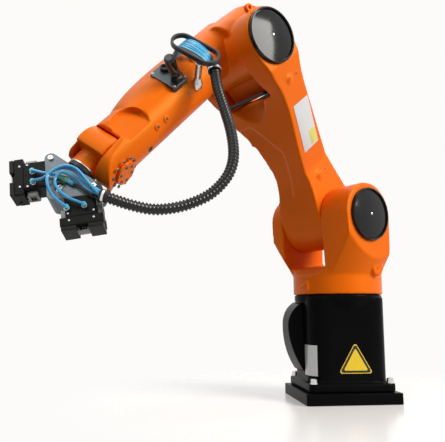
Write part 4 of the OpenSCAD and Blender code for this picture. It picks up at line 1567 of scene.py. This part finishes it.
@dataclass
class GripperTool:
    """Hand, flange, bracket, two grippers and their hoses; sizes in millimetres."""

    places: Places
    finishes: Finishes
    top: float = 20.0
    guide_end: float = 111.0
    port_along: float = 77.9
    port_spots: tuple[Pair, ...] = ((-45, -5.0), (-45, 17.0), (45, -23.0), (45, 7.0))
    hose_r: float = 2.8
    pocket_at: Pair = (46.3, 0.0)
    pocket_deep: float = 8.0
    lobe_left: Pair = (11.5, -52.8)
    lobe_right: Pair = (11.5, 49.5)
    strap_t: float = 4.0
    gland_at: Triple = (18.0, 90.0, 32.8)
    gland_aim: Triple = (12.0, -36.0, 2.0)
    gland_step: float = 9.0
    cover_screws: tuple[Pair, ...] = ((101.5, 21.0), (88.0, 22.0))
    shoe_at: Triple = (83.0, 27.4, -2.0)
    shoe_size: Triple = (20.0, 24.0, 9.0)
    shoe_wall: float = 4.0
    block_size: Triple = (16.0, 24.0, 8.4)
    hexagon_r: float = 5.6
    hexagon_h: float = 3.4
    coupler_at: Pair = (31.0, -14.0)
    coupler_lift: float = 5.3
    coupler_aim: Triple = (-2.0, 34.0, 0.0)

    def build(self) -> None:
        """Dresses the nodes of the hand and the tool and adds their rings, screws, fittings and hoses."""
        fin = self.finishes
        dress_node("wrist_hand", fin.paint, EdgeWork(voxel=1.2, rounds=6))
        dress_node("tool_flange", fin.dark_steel, FINE)
        dress_node("gripper_bracket", fin.bracket, MACHINED)
        dress_node("conduit_end", fin.plastic, FINE)
        for node in ("gripper_body_left", "gripper_body_lower", "jaw_guide_left", "jaw_guide_lower"):
            dress_node(node, fin.gripper, EdgeWork(voxel=0.8, rounds=3))
        for node in ("jaw_left_upper", "jaw_left_lower", "jaw_lower_near", "jaw_lower_far"):
            dress_node(node, fin.jaw, EdgeWork(voxel=0.7, rounds=2))
        dress_node("coupler_lead", fin.plastic)
        self.hand_rings()
        self.bracket_screws()
        for name, place in (("left", self.places.grip_left), ("lower", self.places.grip_lower)):
            self.gripper_details(name, place)
        self.fittings()
        self.hoses()
        self.coupler()

    def hand_rings(self) -> None:
        """Adds the dark seam and the bright edge of the barrel, and the black ring at the flange."""
        fin, hand, tool = self.finishes, self.places.hand, self.places.tool
        rings = (
            ("barrel_seam", hand, 22.0, (27.0, 28.15, 0.7), fin.dark_steel, Body.HAND),
            ("barrel_edge", hand, 38.6, (27.0, 28.5, 2.4), fin.steel, Body.HAND),
            ("flange_ring", tool, -7.6, (24.6, 28.6, 6.6), fin.plastic, Body.TOOL),
        )
        for name, place, x, (inner, outer, wide), finish, body in rings:
            ease = min(0.5, wide / 3)
            outline = [
                (inner, 0), (outer - ease, 0), (outer, ease), (outer, wide - ease),
                (outer - ease, wide), (inner, wide), (inner, 0),
            ]  # fmt: skip
            ring = Bench.turn(name, outline, 64)
            Bench.finish(ring, body, finish, Slot.STEEL, place.aimed((x, 0, 0), (1, 0, 0)), 35.0)

    def bracket_screws(self) -> None:
        """Puts the bright screw in the bracket's pocket, two by the lobes and the gland's steel band."""
        fin, tool, up = self.finishes, self.places.tool, (0, 0, 1)
        pocket = [tool.aimed((*self.pocket_at, self.top - self.pocket_deep), up)]
        screw = SocketScrew(head_r=5.2, head_h=6.0, washer_r=8.2, washer_t=2.0)
        screw.fit("bracket_screw", Body.TOOL, fin.steel, pocket)
        tops = ((*self.lobe_left, self.top), (*self.lobe_right, self.top + self.strap_t))
        lobes = [tool.aimed(p, up) for p in tops]
        SocketScrew(head_r=4.6, head_h=4.6).fit("lobe_screws", Body.TOOL, fin.steel, lobes)
        ring = [(11.4, -2.5), (12.3, -2.1), (12.3, 2.1), (11.4, 2.5), (11.4, -2.5)]
        aim = Vector(self.gland_aim).normalized()
        place = tool.aimed(Vector(self.gland_at) + aim * self.gland_step, aim)
        Bench.finish(Bench.turn("gland_band", ring, 48), Body.TOOL, fin.steel, Slot.STEEL, place, 40.0)

    def gripper_details(self, name: str, place: Place) -> None:
        """Adds a gripper's screws, its grey side shoes and the lighter block between its jaws.

        Args:
            name: Which gripper.
            place: The gripper's frame.
        """
        fin = self.finishes
        tops = [(x, side * y, self.top - 0.3) for x, y in self.cover_screws for side in (-1, 1)]
        heads = [place.aimed(p, (0, 0, 1)) for p in tops]
        SocketScrew(head_r=1.9, head_h=1.4).fit(f"gripper_screws_{name}", Body.TOOL, fin.alloy, heads)
        shoe = self.side_shoe(f"side_shoes_{name}")
        x, y, z = self.shoe_at
        sides = [place.aimed((x, side * y, z), (0, side, 0)) for side in (-1, 1)]
        Bench.finish(Bench.copies(shoe, sides), Body.TOOL, fin.grey_metal, Slot.ALLOY, smooth=35.0)
        block = Bench.block(f"jaw_block_{name}", self.block_size, corner=1.2, ease=0.6)
        spot = place.aimed((self.guide_end - 0.2, 0, 0), (1, 0, 0), roll=90.0)
        Bench.finish(block, Body.TOOL, fin.grey_metal, Slot.GRIPPER, spot, 35.0)

    def side_shoe(self, name: str) -> bpy.types.Object:
        """Models a grey shoe with a shallow pocket, standing on the side of a gripper.

        Args:
            name: The piece's name.

        Returns:
            The shoe on the origin, its outer side up.
        """
        obj = Bench.block(name, self.shoe_size, corner=3.0, ease=0.8)
        face = (self.shoe_size[2] - 0.5) * MM
        Bench.edit(obj)
        Bench.pick_faces(obj, lambda c, n: n.z > 0.95 and c.z > face)
        bpy.ops.mesh.inset(thickness=self.shoe_wall * MM)
        bpy.ops.mesh.extrude_region_move(TRANSFORM_OT_translate={"value": (0, 0, -self.shoe_wall * MM)})
        Bench.tidy()
        return obj

    def ports(self) -> list[Vector]:
        """Finds the four air ports on the grippers' tops.

        Returns:
            Points in the tool's frame in millimetres.
        """
        out = []
        for degrees, side in self.port_spots:
            turn = Matrix.Rotation(math.radians(degrees), 3, "Z")
            out.append(turn @ Vector((self.port_along, side, self.top)))
        return out

    def fittings(self) -> None:
        """Models the push-in fittings: steel hexagon below, blue collar above."""
        fin, tool = self.finishes, self.places.tool
        places = [tool.aimed(p, (0, 0, 1)) for p in self.ports()]
        Bench.clear()
        bpy.ops.mesh.primitive_cylinder_add(
            vertices=6, radius=self.hexagon_r * MM, depth=self.hexagon_h * MM
        )
        hexes = bpy.context.object
        hexes.name = "fitting_hexagons"
        bpy.ops.object.mode_set(mode="EDIT")
        bpy.ops.transform.translate(value=(0, 0, 1.5 * MM))
        Bench.pick_edges(hexes, lambda a, b: min(a.z, b.z) > 3.0 * MM)
        bpy.ops.mesh.bevel(offset=0.5 * MM, segments=2, affect="EDGES")
        bpy.ops.object.mode_set(mode="OBJECT")
        Bench.finish(Bench.copies(hexes, places), Body.TOOL, fin.steel, Slot.STEEL, smooth=30.0)
        outline = [(0, 2.5), (4.4, 2.5), (4.4, 5.2), (3.9, 5.8), (3.9, 7.2)]
        outline += [(4.5, 7.8), (4.5, 8.8), (3.4, 9.4), (0, 9.4)]
        collars = Bench.copies(Bench.turn("fitting_collars", outline, 28), places)
        Bench.finish(collars, Body.TOOL, fin.fitting, Slot.HOSE, smooth=35.0)
        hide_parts("air_fittings")

    def hoses(self) -> None:
        """Models the four smooth air hoses over the CAD hoses."""
        tool, fin = self.places.tool, self.finishes
        z = self.top + 8.0
        ports = [Vector((p.x, p.y, z)) for p in self.ports()]
        routes = (
            ((44, -36, z + 2), (*self.coupler_at, self.top + self.coupler_lift)),
            ((54, -28, z + 6), (32, -22, z + 8), (18, -11, z + 8), (12, 10, z + 8), (17, 36, z + 7),
             (18, 57, z + 8.5), (18, 77, z + 9.5)),
            ((72, 15, z + 8), (63, -6, z + 13), (47, -20, z + 14), (29, -17, z + 15), (15, -7, z + 15),
             (9, 13, z + 14), (16, 42, z + 14), (21, 60, z + 14), (25, 77, z + 11.5)),
            ((58, 32, z + 6), (55, 6, z + 8), (45, -7, z + 9), (30, -9, z + 10), (23, 2, z + 9),
             (21, 24, z + 4), (25, 44, z + 3), (24, 60, z + 3.5), (21, 77, z + 3.5)),
        )  # fmt: skip
        for i, (port, route) in enumerate(zip(ports, routes)):
            line = smooth_path([tool.at(port), *(tool.at(p) for p in route)], 10)
            hose = Bench.sweep(f"air_hose_{i + 1}", line, self.hose_r, sides=4)
            Bench.finish(hose, Body.TOOL, fin.hose, Slot.HOSE, smooth=60.0)
            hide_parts("air_hoses")

    def coupler(self) -> None:
        """Models the two-tone hose coupler over the CAD coupler."""
        fin, tool = self.finishes, self.places.tool
        aim = Vector(self.coupler_aim).normalized()
        place = tool.aimed((*self.coupler_at, self.top + self.coupler_lift), aim)
        green = [(0, -1), (3.2, -1), (3.6, 0), (5.2, 1.0), (5.6, 2.0), (5.6, 18.0), (5.0, 18.8), (0, 18.8)]
        body = Bench.turn("coupler_body", green, 36)
        Bench.finish(body, Body.TOOL, fin.coupler, Slot.COUPLER, place, 35.0)
        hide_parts("hose_coupler")
        blue = [(0, 18.4), (4.6, 18.4), (4.9, 19.4), (4.9, 30.0), (4.0, 33.0), (2.2, 34.4), (0, 34.4)]
        sleeve = Bench.turn("coupler_sleeve", blue, 36)
        Bench.finish(sleeve, Body.TOOL, fin.fitting, Slot.COUPLER, place, 35.0)


# Studio


@dataclass
class SoftBox:
    """One soft studio lamp; places and size in metres, power in watts."""

    name: str
    spot: Triple
    target: Triple
    size: float
    power: float
    colour: Colour = (1.0, 1.0, 1.0)

    def build(self) -> None:
        """Adds the lamp and aims it."""
        data = bpy.data.lights.new(self.name, "AREA")
        data.shape = "SQUARE"
        data.size = self.size
        data.energy = self.power
        data.color = self.colour
        lamp = bpy.data.objects.new(self.name, data)
        lamp.location = self.spot
        aim = Vector(self.target) - Vector(self.spot)
        lamp.rotation_euler = aim.to_track_quat("-Z", "Y").to_euler()
        bpy.context.scene.collection.objects.link(lamp)
        log.info("lamp %s gives %.0f W", self.name, self.power)


@dataclass
class Studio:
    """Camera, pale floor and plain soft light; places in metres, angles in degrees."""

    camera_spot: Triple = (-0.444, -1.372, 0.203)
    yaw: float = 6.7
    pitch: float = 9.0
    focal_px: float = 574.0
    image_width: int = 445
    aim: Triple = (-0.25, -0.15, 0.5)
    pale: Colour = (0.975, 0.965, 0.95)
    ambient: float = 0.12
    floor_half: float = 12.0
    floor_colour: Colour = (0.86, 0.855, 0.845)
    floor_roughness: float = 0.22
    floor_glow: float = 0.2
    fade: Pair = (0.25, 0.75)

    def camera(self) -> None:
        """Adds the camera at the photograph's angle."""
        data = bpy.data.cameras.new("camera")
        data.sensor_width = 36.0
        data.lens = self.focal_px / self.image_width * data.sensor_width
        data.clip_start = 0.01
        obj = bpy.data.objects.new("camera", data)
        obj.location = self.camera_spot
        obj.rotation_euler = (math.radians(90 + self.pitch), 0, -math.radians(self.yaw))
        bpy.context.scene.collection.objects.link(obj)
        bpy.context.scene.camera = obj
        log.info("camera is set")

    def light(self) -> None:
        """Adds the lamps and the pale surroundings."""
        warm = (1.0, 0.97, 0.92)
        SoftBox("key", (2.1, -1.9, 1.9), self.aim, size=1.5, power=104.0, colour=warm).build()
        SoftBox("fill", (-2.0, -1.8, 3.0), self.aim, size=2.0, power=46.0).build()
        SoftBox("top", (-0.5, 0.2, 2.8), self.aim, size=2.0, power=18.0).build()
        scene = bpy.context.scene
        scene.view_settings.view_transform = "Standard"
        world = bpy.data.worlds.new("pale_room")
        scene.world = world
        world.use_nodes = True
        tree = world.node_tree
        seen = self.seen_mask(tree)
        base = tree.nodes["Background"]
        base.inputs["Color"].default_value = (1.0, 1.0, 1.0, 1.0)
        base.inputs["Strength"].default_value = self.ambient
        bright = tree.nodes.new("ShaderNodeBackground")
        bright.inputs["Color"].default_value = (*self.pale, 1.0)
        bright.inputs["Strength"].default_value = 1.0
        mix = tree.nodes.new("ShaderNodeMixShader")
        tree.links.new(seen, mix.inputs[0])
        tree.links.new(base.outputs[0], mix.inputs[1])
        tree.links.new(bright.outputs[0], mix.inputs[2])
        tree.links.new(mix.outputs[0], tree.nodes["World Output"].inputs["Surface"])

    def seen_mask(self, tree: bpy.types.NodeTree) -> bpy.types.NodeSocket:
        """Gives a mask of the rays that show the surroundings.

        Args:
            tree: The node tree.

        Returns:
            One for camera, glossy and transmission rays.
        """
        path = tree.nodes.new("ShaderNodeLightPath")
        total = path.outputs["Is Camera Ray"]
        for name in ("Is Glossy Ray", "Is Transmission Ray"):
            node = tree.nodes.new("ShaderNodeMath")
            node.operation = "MAXIMUM"
            tree.links.new(total, node.inputs[0])
            tree.links.new(path.outputs[name], node.inputs[1])
            total = node.outputs[0]
        return total

    def far_mask(self, tree: bpy.types.NodeTree) -> bpy.types.NodeSocket:
        """Gives a mask that rises away from the arm, where the floor melts into the white surroundings.

        Args:
            tree: The node tree.

        Returns:
            Zero near the arm, one far from it.
        """
        coords = tree.nodes.new("ShaderNodeTexCoord")
        away = tree.nodes.new("ShaderNodeVectorMath")
        away.operation = "LENGTH"
        tree.links.new(coords.outputs["Object"], away.inputs[0])
        node = tree.nodes.new("ShaderNodeMapRange")
        node.interpolation_type = "SMOOTHSTEP"
        node.inputs["From Min"].default_value, node.inputs["From Max"].default_value = self.fade
        tree.links.new(away.outputs["Value"], node.inputs["Value"])
        return node.outputs["Result"]

    def floor(self) -> None:
        """Adds the pale floor, which keeps the arm's shadow and a faint mirror image."""
        Bench.clear()
        bpy.ops.mesh.primitive_plane_add(size=2 * self.floor_half)
        obj = bpy.context.object
        obj.name = "floor"
        material = bpy.data.materials.new("pale_floor")
        material.use_nodes = True
        tree = material.node_tree
        shader = tree.nodes["Principled BSDF"]
        shader.inputs["Base Color"].default_value = (*self.floor_colour, 1.0)
        shader.inputs["Roughness"].default_value = self.floor_roughness
        shader.inputs["Specular IOR Level"].default_value = 0.5
        glow = tree.nodes.new("ShaderNodeEmission")
        glow.inputs["Color"].default_value = (*self.pale, 1.0)
        strength = tree.nodes.new("ShaderNodeMath")
        strength.operation = "MULTIPLY"
        strength.inputs[1].default_value = self.floor_glow
        tree.links.new(self.seen_mask(tree), strength.inputs[0])
        tree.links.new(strength.outputs[0], glow.inputs["Strength"])
        add = tree.nodes.new("ShaderNodeAddShader")
        tree.links.new(shader.outputs[0], add.inputs[0])
        tree.links.new(glow.outputs[0], add.inputs[1])
        clear = tree.nodes.new("ShaderNodeBsdfTransparent")
        fade = tree.nodes.new("ShaderNodeMixShader")
        tree.links.new(self.far_mask(tree), fade.inputs[0])
        tree.links.new(add.outputs[0], fade.inputs[1])
        tree.links.new(clear.outputs[0], fade.inputs[2])
        tree.links.new(fade.outputs[0], tree.nodes["Material Output"].inputs["Surface"])
        obj.data.materials.append(material)
        log.info("floor is laid")


def main() -> None:
    """Builds the studio and every unit of the arm in order."""
    logging.basicConfig(level=logging.INFO, format="%(message)s")
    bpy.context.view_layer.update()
    studio = Studio()
    studio.camera()
    places, finishes = Places(), Finishes()
    Conduit(places, finishes).build()
    studio.floor()
    studio.light()
    for unit in (BaseUnit, ColumnUnit, LinkArm, ForearmUnit, GripperTool):
        unit(places, finishes).build()
        log.info("unit %s is complete", unit.__name__)


if __name__ == "__main__":
    main()
